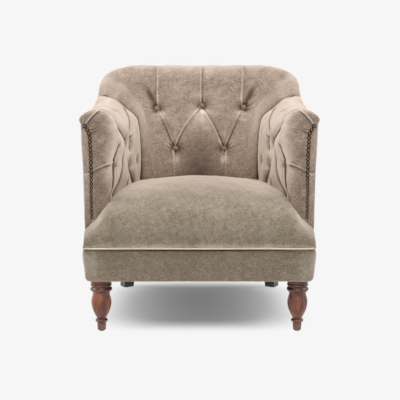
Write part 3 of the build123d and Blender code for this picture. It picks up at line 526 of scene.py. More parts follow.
ARM_CREASES = [
    # from the arm's top, behind the front lobe, to the upper front button
    crease(5.5, 17, 0.4, [(-345, -282, 694, 3), (-312, -284, 696, 5), (-288, -284, 689, 8), (-271, -282, 673, 13),
        (-260, -275, 650, 17.6)], lip=-2.0, off=12, lip_width=5, dark=0.8),
    crease(3.0, 20, 0.62, [(-262, -286, 655, 14.4), (-253, -256, 634, 19.2), (-246, -213, 616, 20.8),
        (-241, -172, 600, 22.4), (-239, -140, 584, 25.6)], lip=-1.4),
    # down from that button to the seat, and down behind the front lobe
    crease(4.6, 16, 0.28, [(-239, -140, 584, 24), (-243, -160, 561, 16), (-247, -174, 530, 14.4),
        (-250, -190, 489, 14.4), (-258, -209, 458, 16), (-274, -250, 424, 16)], lip=2.6, off=8, lip_width=4,
        dark=0.75),
    crease(5.0, 15, 0.28, [(-250, -252, 588, 2.4), (-255, -286, 572, 9.6), (-265, -296, 530, 16),
        (-267, -292, 464, 12), (-272, -285, 441, 8), (-279, -298, 412, 5)], lip=-2.6, off=8, lip_width=4,
        dark=0.75),
    # from the arm's top to the upper rear button
    crease(5.5, 30, 0.28, [(-262, 112, 681, 8), (-247, 40, 668, 8), (-238, -20, 640, 9.6), (-233, -62, 605, 14.4),
        (-231, -56, 568, 22.4)], lip=-2.0, off=10, lip_width=6),
    crease(2.6, 9, 0.7, [(-226, -8, 603, 2.4), (-229, -40, 592, 8), (-232, -70, 582, 10.4)], lip=0.8),
    # lower rear folds, an open V at the seat
    crease(5.0, 18, 0.35, [(-240, -108, 520, 5), (-236, -70, 488, 13), (-232, -24, 460, 17), (-229, 26, 430, 18),
        (-228, 34, 415, 18)], lip=2.4, off=8, lip_width=4, dark=0.7),
    crease(3.0, 10, 0.6, [(-238, -66, 470, 3.2), (-242, -68, 446, 11.2), (-245, -70, 428, 14.4),
        (-247, -70, 412, 14.4)]),
    # soft roll on the arm's top
    crease(5, 14, 0.45, [(-345, -198, 697, 0.5), (-322, -193, 703, 2.1), (-298, -180, 699, 3.5),
        (-283, -165, 690, 4.2), (-268, -116, 679, 1.9), (-255, -80, 665, 0.3)]),
    # fold on the front lobe, seam round the scroll, and gathers by the top nails
    crease(2.0, 12, 0.55, [(-334, -319, 501, 3.0), (-318, -321, 510, 3.6), (-301, -321, 518, 4.4),
        (-285, -318, 523, 5.6), (-271, -304, 527, 8.0)], lip=-2.0, off=4, dark=0.7),
    crease(1.9, 8, 0.75, [(-353, -317, 648, 2.6), (-346, -318, 659, 3.8), (-338, -320, 668, 4.2),
        (-331, -320, 676, 4.2), (-323, -320, 683, 4), (-315, -319, 689, 3.2), (-309, -317, 693, 2)], lip=-1.7,
        off=3.6),
    crease(2.0, 6, 0.8, [(-342, -318, 634, 2.2), (-334, -319, 636, 2.0), (-322, -320, 640, 0.9),
        (-314, -320, 643, 0.2)], lip=-0.8, off=3.2),
    crease(2.0, 6, 0.8, [(-338, -318, 625, 2.2), (-329, -319, 628, 2.0), (-316, -320, 634, 0.9),
        (-308, -320, 637, 0.2)], lip=-0.8, off=3.2),
    # pull into the seam beside the back
    crease(5, 20, 0.25, [(-345, 151, 722, 3.2), (-305, 151, 714, 6.4), (-283, 151, 701, 8), (-259, 151, 679, 11.2),
        (-235, 151, 661, 12.8), (-220, 151, 641, 12.8), (-210, 151, 590, 12.8), (-207, 151, 505, 12.8),
        (-209, 151, 420, 12.8)]),
    # drag lines
    crease(2.4, 7, 0.7, [(-245, -190, 640, 0.8), (-243, -172, 618, 3.2), (-241, -158, 600, 4)]),
    crease(4, 16, 0.3, [(-226, 60, 590, 0.5), (-224, 66, 540, 2.6), (-223, 60, 490, 2.9), (-222, 52, 455, 1)]),
]
# painted light and shade on the inside arm: painted highlights on its inner side, by the front lobe and by the seam,
# painted shade on the lower parts
ARM_PAINTED_LIGHT_SHADE = [((-240, -165, 600), (60, 90, 90), 0.45), ((-228, 50, 570), (60, 110, 150), 0.3),
            ((-230, 5, 520), (60, 40, 80), -0.2), ((-272, -306, 610), (17, 15, 85), 0.75),
            ((-262, -270, 500), (30, 60, 60), 0.25), ((-290, -310, 690), (40, 20, 14), 0.2),
            ((-225, 137, 560), (30, 9, 150), 0.55), ((-236, -100, 480), (30, 50, 60), 0.4),
            ((-315, -316, 430), (35, 15, 70), -0.3), ((-236, -60, 400), (60, 90, 25), -0.2)]
ARM_DENTS = [dent((-233, -142, 583), 22, 19), dent((-227, -54, 566), 20, 22), dent((-228, -52, 500), 16, 28),
             dent((-258, -286, 527), 9, 16, 0.2), dent((-222, 60, 500), 4, 30, 0.0),
             dent((-266, -290, 523), 6, 14, 0.2), dent((-223, 66, 503), 12, 17, 0.3)]
ARM_BUTTONS = [(-239, -140, 584), (-231, -54, 566), (-266, -290, 523), (-228, -54, 501), (-223, 66, 503)]

BACK_CREASES = [
    # up over the rim from the upper buttons
    crease(2.6, 26, 0.5, [(-156, 246, 671, 15), (-159, 256, 705, 9), (-160, 270, 748, 6.5), (-160, 300, 803, 5),
        (-161, 333, 828, 3.6), (-161, 366, 829, 3), (-161, 386, 812, 2), (-161, 392, 796, 1.4)], lip=2.4, off=4.8,
        lip_width=2.8),
    crease(2.6, 26, 0.5, [(10, 250, 680, 15), (10, 259, 710, 8), (10, 277, 762, 6), (11, 303, 806, 5),
        (12, 340, 830, 3.6), (12, 370, 829, 3), (12, 390, 812, 2), (12, 397, 796, 1.4)], lip=-2.2, off=4.6),
    crease(2.6, 26, 0.5, [(163, 246, 675, 15), (160, 256, 705, 9), (163, 270, 748, 6.5), (165, 300, 803, 5),
        (167, 333, 828, 3.6), (168, 366, 829, 3), (168, 386, 812, 2), (168, 392, 796, 1.4)], lip=-2.4, off=4.8,
        lip_width=2.8),
    # diagonals
    crease(2.4, 20, 0.62, [(-156, 246, 671, 10), (-147, 240, 650, 8), (-124, 227, 604, 13), (-104, 215, 558, 14),
        (-88, 205, 526, 15)], lip=-0.8),
    crease(2.2, 22, 0.5, [(10, 250, 680, 12), (-16, 244, 651, 6), (-50, 231, 607, 6), (-76, 214, 558, 9),
        (-88, 205, 526, 15)], lip=2.0, off=5, lip_width=3.2, dark=0.55),
    crease(2.2, 22, 0.5, [(10, 250, 680, 12), (31, 243, 651, 7), (58, 230, 607, 8), (80, 214, 558, 9),
        (92, 205, 526, 15)], lip=1.6, off=5, lip_width=3.2, dark=0.6),
    crease(2.4, 20, 0.62, [(163, 246, 675, 10), (150, 240, 652, 8), (128, 227, 604, 13), (108, 215, 558, 14),
        (92, 205, 526, 15)], lip=0.8),
    # down to the seat
    *both(2, crease(3.4, 18, 0.35, [(-88, 205, 526, 15), (-87, 199, 500, 6), (-86, 190, 460, 5), (-86, 182, 425, 5)],
        lip=2.2, off=5, lip_width=5, dark=0.4)),
    # leaves of slack cloth above the outer buttons
    crease(10, 20, 0.45, [(-194, 266, 750, 2), (-185, 262, 730, 7), (-173, 256, 707, 10), (-162, 250, 686, 11)],
        dark=0.75),
    crease(5, 12, 0.45, [(-168, 268, 745, 1), (-166, 262, 728, 4), (-161, 255, 704, 8)]),
    crease(9, 20, 0.45, [(199, 266, 750, 2), (191, 262, 730, 7), (180, 256, 709, 10), (169, 250, 690, 11)],
        dark=0.75),
    crease(4, 12, 0.4, [(175, 268, 745, 1), (173, 262, 728, 4), (168, 255, 706, 8)]),
    # short drags at the buttons
    crease(2.6, 9, 0.6, [(-208, 236, 700, 0.4), (-188, 239, 689, 3.2), (-166, 244, 680, 6)], lip=1.4),
    crease(2.6, 8, 0.6, [(-206, 230, 681, 0.4), (-186, 237, 677, 2.6), (-167, 243, 674, 5)], lip=1.0),
    crease(2.6, 9, 0.6, [(210, 238, 700, 0.4), (192, 241, 689, 3.2), (171, 245, 680, 6)], lip=-1.4),
    *both(2, crease(2.6, 9, 0.6, [(-130, 212, 557, 0.8), (-114, 208, 548, 4.5), (-97, 206, 532, 8)], lip=2.0,
        off=3.8)),
    *both(2, crease(2.6, 8, 0.6, [(-127, 206, 536, 0.5), (-112, 205, 533, 3.2), (-99, 205, 526, 6)], lip=1.4,
        off=3.6)),
    crease(2.6, 9, 0.6, [(-103, 216, 584, 0.5), (-99, 212, 562, 3.5), (-93, 208, 540, 7)], lip=1.2),
    crease(2.6, 9, 0.6, [(76, 214, 572, 0.5), (82, 211, 552, 3.5), (88, 208, 538, 7)], lip=1.2),
    crease(5, 12, 0.2, [(11, 244, 655, 3), (12, 236, 625, 1.4), (13, 226, 590, 0.3)], lip=0.8, off=0.5,
        lip_width=6),
    # pull into the seams beside the arms
    *both(0, crease(6, 20, 0.35, [(-338, 150, 724, 2), (-305, 150, 716, 4), (-283, 150, 702, 6), (-259, 150, 679, 8),
        (-236, 150, 660, 9), (-220, 150, 640, 9), (-210, 150, 590, 9), (-206, 150, 505, 9), (-209, 150, 420, 9)])),
]
# painted light and shade on the inside back: painted shade low down by the seat, above the lower buttons, by the
# leaves and beside the arms; painted highlights below the buttons, in the middle and along the rim
BACK_PAINTED_LIGHT_SHADE = [((0, 195, 452), (88, 200, 68), -0.66), ((0, 215, 540), (66, 200, 45), -0.24),
             ((-148, 240, 656), (19, 200, 9), 0.8), ((12, 244, 666), (17, 200, 9), 0.8),
             ((155, 240, 660), (18, 200, 9), 0.8), ((-82, 200, 486), (8, 200, 40), 0.55),
             ((86, 200, 486), (8, 200, 40), 0.55), ((-88, 215, 552), (20, 200, 18), -0.3),
             ((92, 215, 552), (20, 200, 18), -0.3), ((0, 180, 425), (190, 200, 22), -0.25),
             *twin((-185, 240, 720), (34, 200, 40), -0.2), ((0, 240, 640), (60, 200, 50), 0.26),
             ((0, 300, 812), (220, 200, 22), 0.18), *twin((-262, 180, 715), (34, 200, 60), -0.25)]
BACK_BUTTONS = [(-156, 246, 671), (10, 250, 682), (163, 246, 675), (-88, 205, 526), (92, 205, 526)]
BACK_DENTS = [dent(place, 23, 21, 0.42) for place in BACK_BUTTONS]

# painted light and shade on the seat: painted highlights along the lip and on the nose, painted shade behind the
# nose and beside the arms
SEAT_PAINTED_LIGHT_SHADE = [((0, -300, 415), (330, 30, 40), -0.1), ((0, -392, 277), (330, 30, 6), 0.34),
             ((0, -375, 330), (260, 60, 22), 0.10), *twin((-352, -350, 300), (24, 60, 40), -0.3),
             *twin((-280, -300, 410), (50, 40, 40), -0.16)]
# the join of the strip beside the nails
SIDE_CREASES = [crease(1.7, 6, 0.75, [(-366, -308, 497, 1.6), (-358, -316, 498, 2.2), (-343, -316, 500, 2.0)],
                       lip=0.9, off=3.2)]
# a painted highlight on the strip beside the nails
SIDE_PAINTED_LIGHT = [((-362, -314, 560), (26, 12, 150), 0.24)]
# painted light and shade on the front border: painted shadow under the lip, painted shade lower down, painted
# highlights on its rounded corners
BORDER_PAINTED_LIGHT_SHADE = [((0, -392, 215), (290, 30, 60), -0.2), ((0, -392, 267), (300, 30, 4.5), -0.8),
               ((0, -392, 256), (300, 30, 14), -0.22), *twin((-352, -360, 225), (40, 80, 60), 0.35)]


# ---- meshes
def mesh_piece(name, material, verts, faces, painted_shading=None):
    """A smooth-shaded piece on the chair's one body; its painted light and shade is kept as the attribute that the
    finishes read.
    """
    mesh = bpy.data.meshes.new(name)
    mesh.from_pydata((np.asarray(verts) * MM).tolist(), [], faces if isinstance(faces, list) else faces.tolist())
    mesh.validate()
    mesh.polygons.foreach_set("use_smooth", np.ones(len(mesh.polygons), bool))
    if painted_shading is not None:
        layer = mesh.attributes.new("painted_light_and_shade", "FLOAT", "POINT")
        layer.data.foreach_set("value", np.asarray(painted_shading, np.float32))
    mesh.materials.append(material)
    mesh.update()
    piece = bpy.data.objects.new(name, mesh)
    bpy.context.scene.collection.objects.link(piece)
    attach(piece, "root")
    return piece


def flipped(faces):
    return [f[::-1] for f in faces]


def grid_faces(rows, cols, wrap=False):
    i = np.arange(rows * cols).reshape(rows, cols)
    nxt = np.roll(i, -1, axis=1) if wrap else i[:, 1:]
    cur = i if wrap else i[:, :-1]
    return np.stack([cur[:-1], nxt[:-1], nxt[1:], cur[1:]], -1).reshape(-1, 4)


def border_loop(rows, cols):
    """The border points of a grid, in order round it, and the next of each."""
    i = np.arange(rows * cols).reshape(rows, cols)
    loop = np.concatenate([i[0, :-1], i[:-1, -1], i[-1, :0:-1], i[:0:-1, 0]])
    return loop, np.roll(loop, -1)


def closed(p, painted_shading, hub, turned=False):
    """Vertices, faces and painted light and shade of a grid closed behind by a fan to the point hub."""
    rows, cols = p.shape[:2]
    fan = [[int(b), int(a), rows * cols] for a, b in zip(*border_loop(rows, cols))]
    faces = grid_faces(rows, cols).tolist() + fan
    verts = np.concatenate([p.reshape(-1, 3), [hub]])
    return verts, flipped(faces) if turned else faces, np.concatenate([painted_shading.ravel(), [0.0]])


def slab(p, behind, painted_shading, turned=False):
    """Vertices, faces and painted light and shade of a grid joined round its edge to a second skin behind it."""
    rows, cols = p.shape[:2]
    size = rows * cols
    loop, after = border_loop(rows, cols)
    faces = grid_faces(rows, cols)
    faces = np.concatenate([faces, faces[:, ::-1] + size, np.stack([after, loop, loop + size, after + size], 1)])
    verts = np.concatenate([p.reshape(-1, 3), behind.reshape(-1, 3)])
    return verts, faces[:, ::-1] if turned else faces, np.tile(painted_shading.ravel(), 2)


def turned_grid(rings, sides, centre=(0, 0, 0)):
    """A turned form about z from (radius, height) rings, closed top and bottom."""
    ang = np.linspace(0, 2 * np.pi, sides, endpoint=False)
    v = [(r * math.cos(a) + centre[0], r * math.sin(a) + centre[1], z + centre[2]) for r, z in rings for a in ang]
    faces = grid_faces(len(rings), sides, wrap=True).tolist()
    faces += [list(range(sides))[::-1], [len(v) - sides + i for i in range(sides)]]
    return np.array(v), faces


def aimed(verts, place, way):
    """Turns a form made about z to point along way, and puts it at place."""
    turn = Vector((0, 0, 1)).rotation_difference(Vector(way)).to_matrix()
    return verts @ np.array(turn).T + np.array(place)


def joined(parts):
    """One set of vertices and faces from several."""
    verts, faces, base = [], [], 0
    for v, f in parts:
        verts.append(v)
        faces += [[i + base for i in face] for face in f]
        base += len(v)
    return np.concatenate(verts), faces


def pressed(p, facing, creases, dents, spots=(), lift=0.0, uneven=0.8, shades=HOLLOWS, seed=1):
    """The grid p with its folds pressed in, its painted light and shade, and its normals before the folds."""
    n = normals(p, facing)
    depth, painted_shading = carve(p, n, creases, dents)
    rise = lift + uneven * wander(p, 95.0, seed) + 0.35 * wander(p, 34.0, seed + 1) - depth
    return p + n * rise[..., None], np.clip(painted_shading + hollows(rise, shades) + painted_light_spots(p, spots), -1, 1), n


# ---- finishes
def tone(r, g, b):
    """A colour from its 0-255 screen values."""
    screen = (r / 255, g / 255, b / 255)
    return tuple((c / 12.92 if c <= 0.04045 else ((c + 0.055) / 1.055) ** 2.4) for c in screen) + (1.0,)


class Finish:
    """A node material built step by step."""

    def __init__(self, name):
        self.mat = bpy.data.materials.new(name)
        self.mat.use_nodes = True
        self.tree = self.mat.node_tree
        self.shader = self.tree.nodes["Principled BSDF"]
        self.place = self.tree.nodes.new("ShaderNodeTexCoord").outputs["Object"]

    def feed(self, socket, value):
        """Links an output to the socket, or sets the socket's own value."""
        if hasattr(value, "is_output"):
            self.tree.links.new(value, socket)
        else:
            socket.default_value = value

    def node(self, kind, inputs=None, **settings):
        made = self.tree.nodes.new(kind)
        for key, value in settings.items():
            setattr(made, key, value)
        for key, value in (inputs or {}).items():
            self.feed(made.inputs[key], value)
        return made

    def noise(self, scale, detail=3.0, rough=0.55, stretch=None, distortion=0.0):
        at = self.place
        if stretch:
            at = self.node("ShaderNodeMapping", {"Vector": self.place, "Scale": stretch}).outputs["Vector"]
        return self.node("ShaderNodeTexNoise", {"Vector": at, "Scale": scale, "Detail": detail, "Roughness": rough,
                                                "Distortion": distortion}).outputs["Fac"]

    def ramp(self, fac, *stops):
        """Tones along fac, each stop its position and its 0-255 screen values."""
        made = self.node("ShaderNodeValToRGB", {"Fac": fac})
        ramp = made.color_ramp
        while len(ramp.elements) < len(stops):
            ramp.elements.new(0.5)
        for element, (at, *colour) in zip(ramp.elements, stops):
            element.position = at
            element.color = tone(*colour)
        return made.outputs["Color"]

    def mix(self, fac, a, b, blend="MIX"):
        made = self.node("ShaderNodeMix", data_type="RGBA", blend_type=blend)
        for socket, value in ((0, fac), (6, a), (7, b)):       # factor and colours, by their place on the node
            self.feed(made.inputs[socket], value)
        return made.outputs[2]

    def math(self, op, a, b=0.0, clamp=False):
        return self.node("ShaderNodeMath", {0: a, 1: b}, operation=op, use_clamp=clamp).outputs[0]

    def times(self, a, b, clamp=False):
        return self.math("MULTIPLY", a, b, clamp)

    def plus(self, a, b):
        return self.math("ADD", a, b)

    def painted_light_and_shade(self):
        """The painted light and shade that a mesh carries as an attribute for its finish."""
        return self.node("ShaderNodeAttribute", attribute_name="painted_light_and_shade").outputs["Fac"]

    def bump(self, height, distance, strength=1.0, under=None):
        inputs = {"Height": height, "Distance": distance, "Strength": strength}
        if under is not None:
            inputs["Normal"] = under
        return self.node("ShaderNodeBump", inputs).outputs["Normal"]

    def set(self, **inputs):
        for key, value in inputs.items():
            self.feed(self.shader.inputs[key.replace("_", " ")], value)
        return self.mat


def velvet(name, deep, middle, pale, sheen, crush):
    """Cotton velvet with a short nap; a painted sheen makes it pale where it is seen from its side, painted
    highlights make it pale over raised edges, and painted shade makes it darker in the folds.
    """
    f = Finish(name)
    patches = f.noise(7.0, 2.0, 0.5, distortion=0.3)
    mottle = f.noise(84.0, 5.0, 0.68, distortion=0.4)
    rows = f.noise(260.0, 3.0, 0.7, stretch=(0.45, 0.45, 1.6))
    fine = f.noise(340.0, 3.0, 0.7)
    lie = f.plus(f.times(patches, 0.1), f.times(mottle, 0.2))
    lie = f.plus(lie, f.plus(f.times(rows, 0.7 - crush), f.times(fine, crush)))
    base = f.ramp(lie, (0.40, *deep), (0.5, *middle), (0.60, *pale))
    # painted sheen: pale where the cloth is seen from its side
    side_on = f.node("ShaderNodeLayerWeight", {"Blend": 0.5}).outputs["Facing"]
    base = f.mix(f.times(f.math("POWER", side_on, 2.0), 0.85), base, tone(228, 211, 198))
    # painted highlight where the mesh's attribute is above 0, painted shade where it is below 0
    painted_light_and_shade = f.painted_light_and_shade()
    base = f.mix(f.times(f.math("MAXIMUM", painted_light_and_shade, 0.0), 0.75), base, tone(232, 216, 203))
    shade = f.math("MAXIMUM", f.times(painted_light_and_shade, -1.0), 0.0)
    base = f.mix(f.times(shade, 0.85), base, tone(70, 54, 42))
    height = f.plus(f.times(mottle, 0.6), f.times(rows, 0.6))
    return f.set(Base_Color=base, Roughness=0.85, Normal=f.bump(fine, 0.0005, 0.6, f.bump(height, 0.0012, 0.5)),
                 Sheen_Weight=sheen, Sheen_Roughness=0.4, Sheen_Tint=tone(240, 228, 216), Specular_IOR_Level=0.15)


def turned_wood():
    """Polished hardwood, with painted shade where its attribute is above 0 and paler where it is below."""
    f = Finish("turned_wood")
    bands = f.noise(20.0, 4.0, 0.6, stretch=(1.0, 1.0, 0.16), distortion=0.9)
    streak = f.noise(120.0, 4.0, 0.65, stretch=(1.0, 1.0, 0.07))
    pores = f.noise(700.0, 2.0, 0.6, stretch=(1.0, 1.0, 0.05))
    wood = f.ramp(bands, (0.30, 54, 22, 12), (0.44, 108, 50, 28), (0.56, 160, 84, 46), (0.72, 202, 122, 72))
    wood = f.mix(f.times(streak, 0.45), wood, tone(70, 30, 22), "MULTIPLY")
    painted_light_and_shade = f.painted_light_and_shade()
    # painted shade in the grooves and on the head
    wood = f.mix(f.times(painted_light_and_shade, 0.8), wood, tone(50, 30, 28))
    wood = f.mix(f.times(painted_light_and_shade, -0.6, clamp=True), wood, tone(176, 124, 100))
    return f.set(Base_Color=wood, Roughness=f.plus(f.times(streak, 0.18), 0.24),
                 Normal=f.bump(pores, 0.0002, 0.35), Coat_Weight=0.35, Coat_Roughness=0.16)


def dark_wood():
    f = Finish("dark_wood")
    grain = f.noise(60.0, 4.0, 0.6, stretch=(1.0, 1.0, 0.08), distortion=0.5)
    pores = f.noise(600.0, 2.0, 0.6, stretch=(1.0, 1.0, 0.06))
    wood = f.ramp(grain, (0.3, 34, 20, 22), (0.55, 62, 38, 38), (0.75, 86, 56, 50))
    return f.set(Base_Color=wood, Roughness=f.plus(f.times(grain, 0.2), 0.26),
                 Normal=f.bump(pores, 0.0002, 0.35), Coat_Weight=0.35, Coat_Roughness=0.2)


def beech():
    f = Finish("beech")
    grain = f.noise(45.0, 4.0, 0.6, stretch=(1.0, 0.12, 1.0), distortion=0.6)
    flecks = f.noise(900.0, 2.0, 0.5, stretch=(1.0, 0.15, 1.0))
    wood = f.ramp(grain, (0.3, 178, 136, 98), (0.55, 204, 166, 126), (0.75, 220, 188, 152))
    return f.set(Base_Color=f.mix(f.times(flecks, 0.2), wood, tone(150, 108, 74)), Roughness=0.6,
                 Normal=f.bump(flecks, 0.0002, 0.4))


def brass():
    """Tarnished brass, with painted shade where its attribute is 1, at a nail's rim, and a painted highlight where
    it is 0, on its crown.
    """
    f = Finish("antique_brass")
    tarnish = f.noise(420.0, 3.0, 0.6)
    colour = f.ramp(tarnish, (0.32, 26, 16, 10), (0.55, 58, 42, 30), (0.75, 120, 98, 76))
    # painted highlight on each nail's crown, painted shade towards its rim
    colour = f.mix(f.math("SUBTRACT", 1.0, f.painted_light_and_shade(), clamp=True), colour, tone(178, 148, 120))
    return f.set(Base_Color=colour, Metallic=1.0, Roughness=f.plus(f.times(tarnish, 0.25), 0.25),
                 Normal=f.bump(f.noise(900.0), 0.0002, 0.4))


def cloth(name, dark, light, pitch):
    """A plain woven cloth, such as hessian, webbing or lining."""
    f = Finish(name)
    waves = [f.node("ShaderNodeTexWave", {"Vector": f.place, "Scale": pitch, "Distortion": 0.4, "Detail": 1.0},
                    bands_direction=d).outputs["Fac"] for d in ("X", "Y")]
    weave = f.times(*waves)
    colour = f.mix(f.plus(f.times(weave, 0.6), f.times(f.noise(60.0), 0.4)), tone(*dark), tone(*light))
    return f.set(Base_Color=colour, Roughness=0.9, Normal=f.bump(weave, 0.0006, 0.6), Specular_IOR_Level=0.2)


def speckled(name, noise, dark, light, rough, metallic):
    """A plain material whose tone and gloss are faintly uneven, such as steel or plastic."""
    f = Finish(name)
    spots = f.noise(*noise)
    return f.set(Base_Color=f.ramp(spots, (0.3, *dark), (0.7, *light)), Metallic=metallic,
                 Roughness=f.plus(f.times(spots, 0.3), rough))


velvet_body = velvet("velvet", (110, 92, 77), (148, 129, 114), (186, 167, 151), 0.5, 0.42)
velvet_seat = velvet("velvet_seat", (112, 100, 83), (140, 128, 110), (168, 155, 137), 0.45, 0.36)
wood = turned_wood()
nail_metal = brass()


# ---- the covers
# each cover's grid with its folds pressed in, and its painted light and shade
arm, arm_painted_shading, arm_n = pressed(arm_base(), -1, ARM_CREASES, ARM_DENTS, ARM_PAINTED_LIGHT_SHADE, lift=1.5, uneven=1.0,
                               shades=ARM_HOLLOWS, seed=11)
back_flat = back_base()
back, back_painted_shading, back_n = pressed(back_flat, -1, BACK_CREASES, BACK_DENTS, BACK_PAINTED_LIGHT_SHADE, lift=1.5, uneven=1.0, seed=23)
seat, seat_painted_shading, _ = pressed(seat_base(), -1, [], [], SEAT_PAINTED_LIGHT_SHADE, uneven=1.1, seed=31)
border, border_painted_shading, border_n = pressed(border_base(), 1, [], [], BORDER_PAINTED_LIGHT_SHADE, uneven=0.5, seed=41)
side, side_painted_shading, side_n = pressed(outside_arm_base(), 1, SIDE_CREASES, [], SIDE_PAINTED_LIGHT, uneven=0.4, seed=51)
rear, rear_painted_shading, rear_n = pressed(outside_back_base(), 1, [], [], uneven=0.7, seed=61)

ARM_HUB, SEAT_HUB = np.array([-335, -80, 500]), (0, -100, 300)     # inside the covers, where their backs meet
BUTTON_R, BUTTON_CROWN, BUTTON_SIDES = 10.0, 6.5, 28
BUTTON_SEAT = 16                           # the cloth within this distance gives a button its direction
NAIL_RINGS = [(5.0, -1.0), (6.2, 0.0), (6.4, 0.7), (6.0, 1.6), (5.1, 2.5), (3.8, 3.3), (2.1, 3.9), (0.7, 4.1)]
NAIL_COUNT, NAIL_PITCH, NAIL_SIDES = 23, 13.2, 18
CROWN_R = 3.2                              # the nails get a painted highlight within this radius
COVER_SKIN, BORDER_SKIN = 4.0, 2.5         # thickness of the outer covers and of the front border
BACK_SKIN = ([700, 790, 822], [36.0, 20.0, 6.0])       # heights, and how thick the inside back is there


def button_form():
    rings = [(BUTTON_R * 0.86, -6), (BUTTON_R * 0.97, -2.5), (BUTTON_R, 0)]
    rings += [(BUTTON_R * math.cos(t), BUTTON_CROWN * math.sin(t)) for t in np.radians([18, 36, 52, 66, 78, 86])]
    return turned_grid(rings, BUTTON_SIDES)


def buttons_at(places, p, n, proud, across=(1, 1, 1)):
    """Buttons at the points of grid p nearest to the places, proud of them along the normals n.

    across weighs x, y and z in finding the nearest.
    """
    flat, normal = p.reshape(-1, 3), n.reshape(-1, 3)
    parts = []
    for place in places:
        k = int(np.argmin(np.linalg.norm((flat - place) * across, axis=1)))
        near = np.linalg.norm(flat - flat[k], axis=1) < BUTTON_SEAT
        way = normal[near].mean(0)
        verts, faces = button_form()
        parts.append((aimed(verts, flat[k] + way / np.linalg.norm(way) * proud, way), faces))
    return joined(parts)


def nail_places():
    """Where the nails sit on the left arm (x, z), from the scroll down."""
    line = smooth(NAIL_LINE[::-1], 20)
    at = np.arange(NAIL_COUNT) * NAIL_PITCH
    return np.stack([np.interp(at, run_along(line), line[:, d]) for d in (0, 1)], 1)


for tag, flip in (("left", np.ones(3)), ("right", MIRROR)):
    turned = tag == "right"
    piece = mesh_piece(f"arm_cover_{tag}", velvet_body, *closed(arm * flip, arm_painted_shading, ARM_HUB * flip, turned))
    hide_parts(f"inside_arm_{tag}")
    piece = mesh_piece(f"side_cover_{tag}", velvet_body,
                       *slab(side * flip, (side - side_n * COVER_SKIN) * flip, side_painted_shading, not turned))
    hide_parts(f"outside_arm_{tag}")
    verts, faces = buttons_at(ARM_BUTTONS, arm, arm_n, 1.0)
    piece = mesh_piece(f"arm_buttons_cloth_{tag}", velvet_body, verts * flip, flipped(faces) if turned else faces)
    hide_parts(f"arm_buttons_{tag}")
    form, form_faces = turned_grid(NAIL_RINGS, NAIL_SIDES)
    # painted highlight on each nail's crown, painted shade towards its rim
    nail_painted_shading = np.clip(np.hypot(form[:, 0], form[:, 1]) / CROWN_R, 0, 1)
    verts, faces = joined([(aimed(form, (x, ARM_FRONT_Y - 1.2, z), (0, -1, 0)), form_faces)
                           for x, z in nail_places()])
    piece = mesh_piece(f"nail_heads_{tag}", nail_metal, verts * flip, flipped(faces) if turned else faces,
                       np.tile(nail_painted_shading, NAIL_COUNT))
    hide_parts(f"arm_nails_{tag}")

skin = np.interp(back_flat[..., 2], *BACK_SKIN)
piece = mesh_piece("back_cover", velvet_body, *slab(back, back_flat - back_n * skin[..., None], back_painted_shading))
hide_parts("inside_back")
verts, faces = buttons_at(BACK_BUTTONS, back, back_n, 2.4, (1, 0.1, 1))
# the back's buttons get an even painted shade
piece = mesh_piece("back_buttons_cloth", velvet_body, verts, faces, np.full(len(verts), -0.25))
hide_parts("back_buttons")

piece = mesh_piece("seat_pad", velvet_seat, *closed(seat, seat_painted_shading, SEAT_HUB))
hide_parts("seat_cover", "seat_filling")

piece = mesh_piece("front_border_cover", velvet_seat,
                   *slab(border, border - border_n * BORDER_SKIN, border_painted_shading, True))
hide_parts("front_border")

piece = mesh_piece("rear_cover", velvet_body, *slab(rear, rear - rear_n * COVER_SKIN, rear_painted_shading, True))
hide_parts("outside_back")

# piping along the lip of the seat
PIPING_R, PIPING_SIDES = 2.8, 12
half = [(-358, -318, 271), (-361.5, -345, 271.2), (-361.5, -376, 271.5), (-357.5, -387.0, 271.6),
        (-346, -390.8, 271.6), (-180, -391, 272.0), (0, -391, 271.6)]
route = even(smooth(np.concatenate([half, half[-2::-1] * MIRROR]), 30), count(860))
way = np.gradient(route, axis=0)
way /= np.linalg.norm(way, axis=1, keepdims=True)
up = np.array([0, 0, 1.0])
outward = np.cross(way, up)
ring = [route + PIPING_R * (outward * math.cos(t) + up * math.sin(t))
        for t in np.linspace(0, 2 * np.pi, PIPING_SIDES, endpoint=False)]
tube = np.array(ring).transpose(1, 0, 2)
faces = grid_faces(*tube.shape[:2], wrap=True).tolist()
faces += [list(range(PIPING_SIDES))[::-1], [(len(tube) - 1) * PIPING_SIDES + i for i in range(PIPING_SIDES)]]
# a painted highlight all along the piping
piece = mesh_piece("lip_piping", velvet_seat, tube.reshape(-1, 3), faces, np.full(len(tube) * PIPING_SIDES, 0.95))
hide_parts("lip_welt")

# ---- legs
LEG_TOP, LEG_X, LEG_Y = 168.0, 310.0, -346.5
# the leg's profile: distance down from its top, radius
LEG_RINGS = [(0, 31.5), (4, 33), (9, 33.2), (12, 32.4), (13.2, 30.8), (14.4, 30.6), (15.6, 32.2), (18.5, 33.6),
             (21.5, 32.8), (23, 30.6), (25, 29.8), (27, 30.6), (29, 33), (32, 34.6), (35, 34.4), (37.5, 32.4),
             (40, 29.8), (43, 27.8), (47, 26.6), (51, 26.9), (56, 28.4), (64, 30.6), (72, 31.7), (80, 31.5),
             (88, 30.4), (96, 28.6), (104, 25.8), (112, 22.3), (119, 18.6), (125, 15.6), (128, 14.5),
             (129.6, 15.2), (130.8, 17.8), (133, 19.4), (135.5, 19.5), (138, 18.0), (140, 15.4), (142, 14.4),
             (150, 13.9), (160, 13.2), (164, 12.9), (165, 12.2)]
TURNED_SHADE = [(11, 15, 0.8), (22, 27, 0.9), (38, 45, 0.8), (127, 131, 0.9), (139, 143, 0.7)]   # painted shade in the grooves: from, to, how dark
HEAD_END, HEAD_SHADE = 42, 0.62            # the head above this gets painted shade too, under the rail
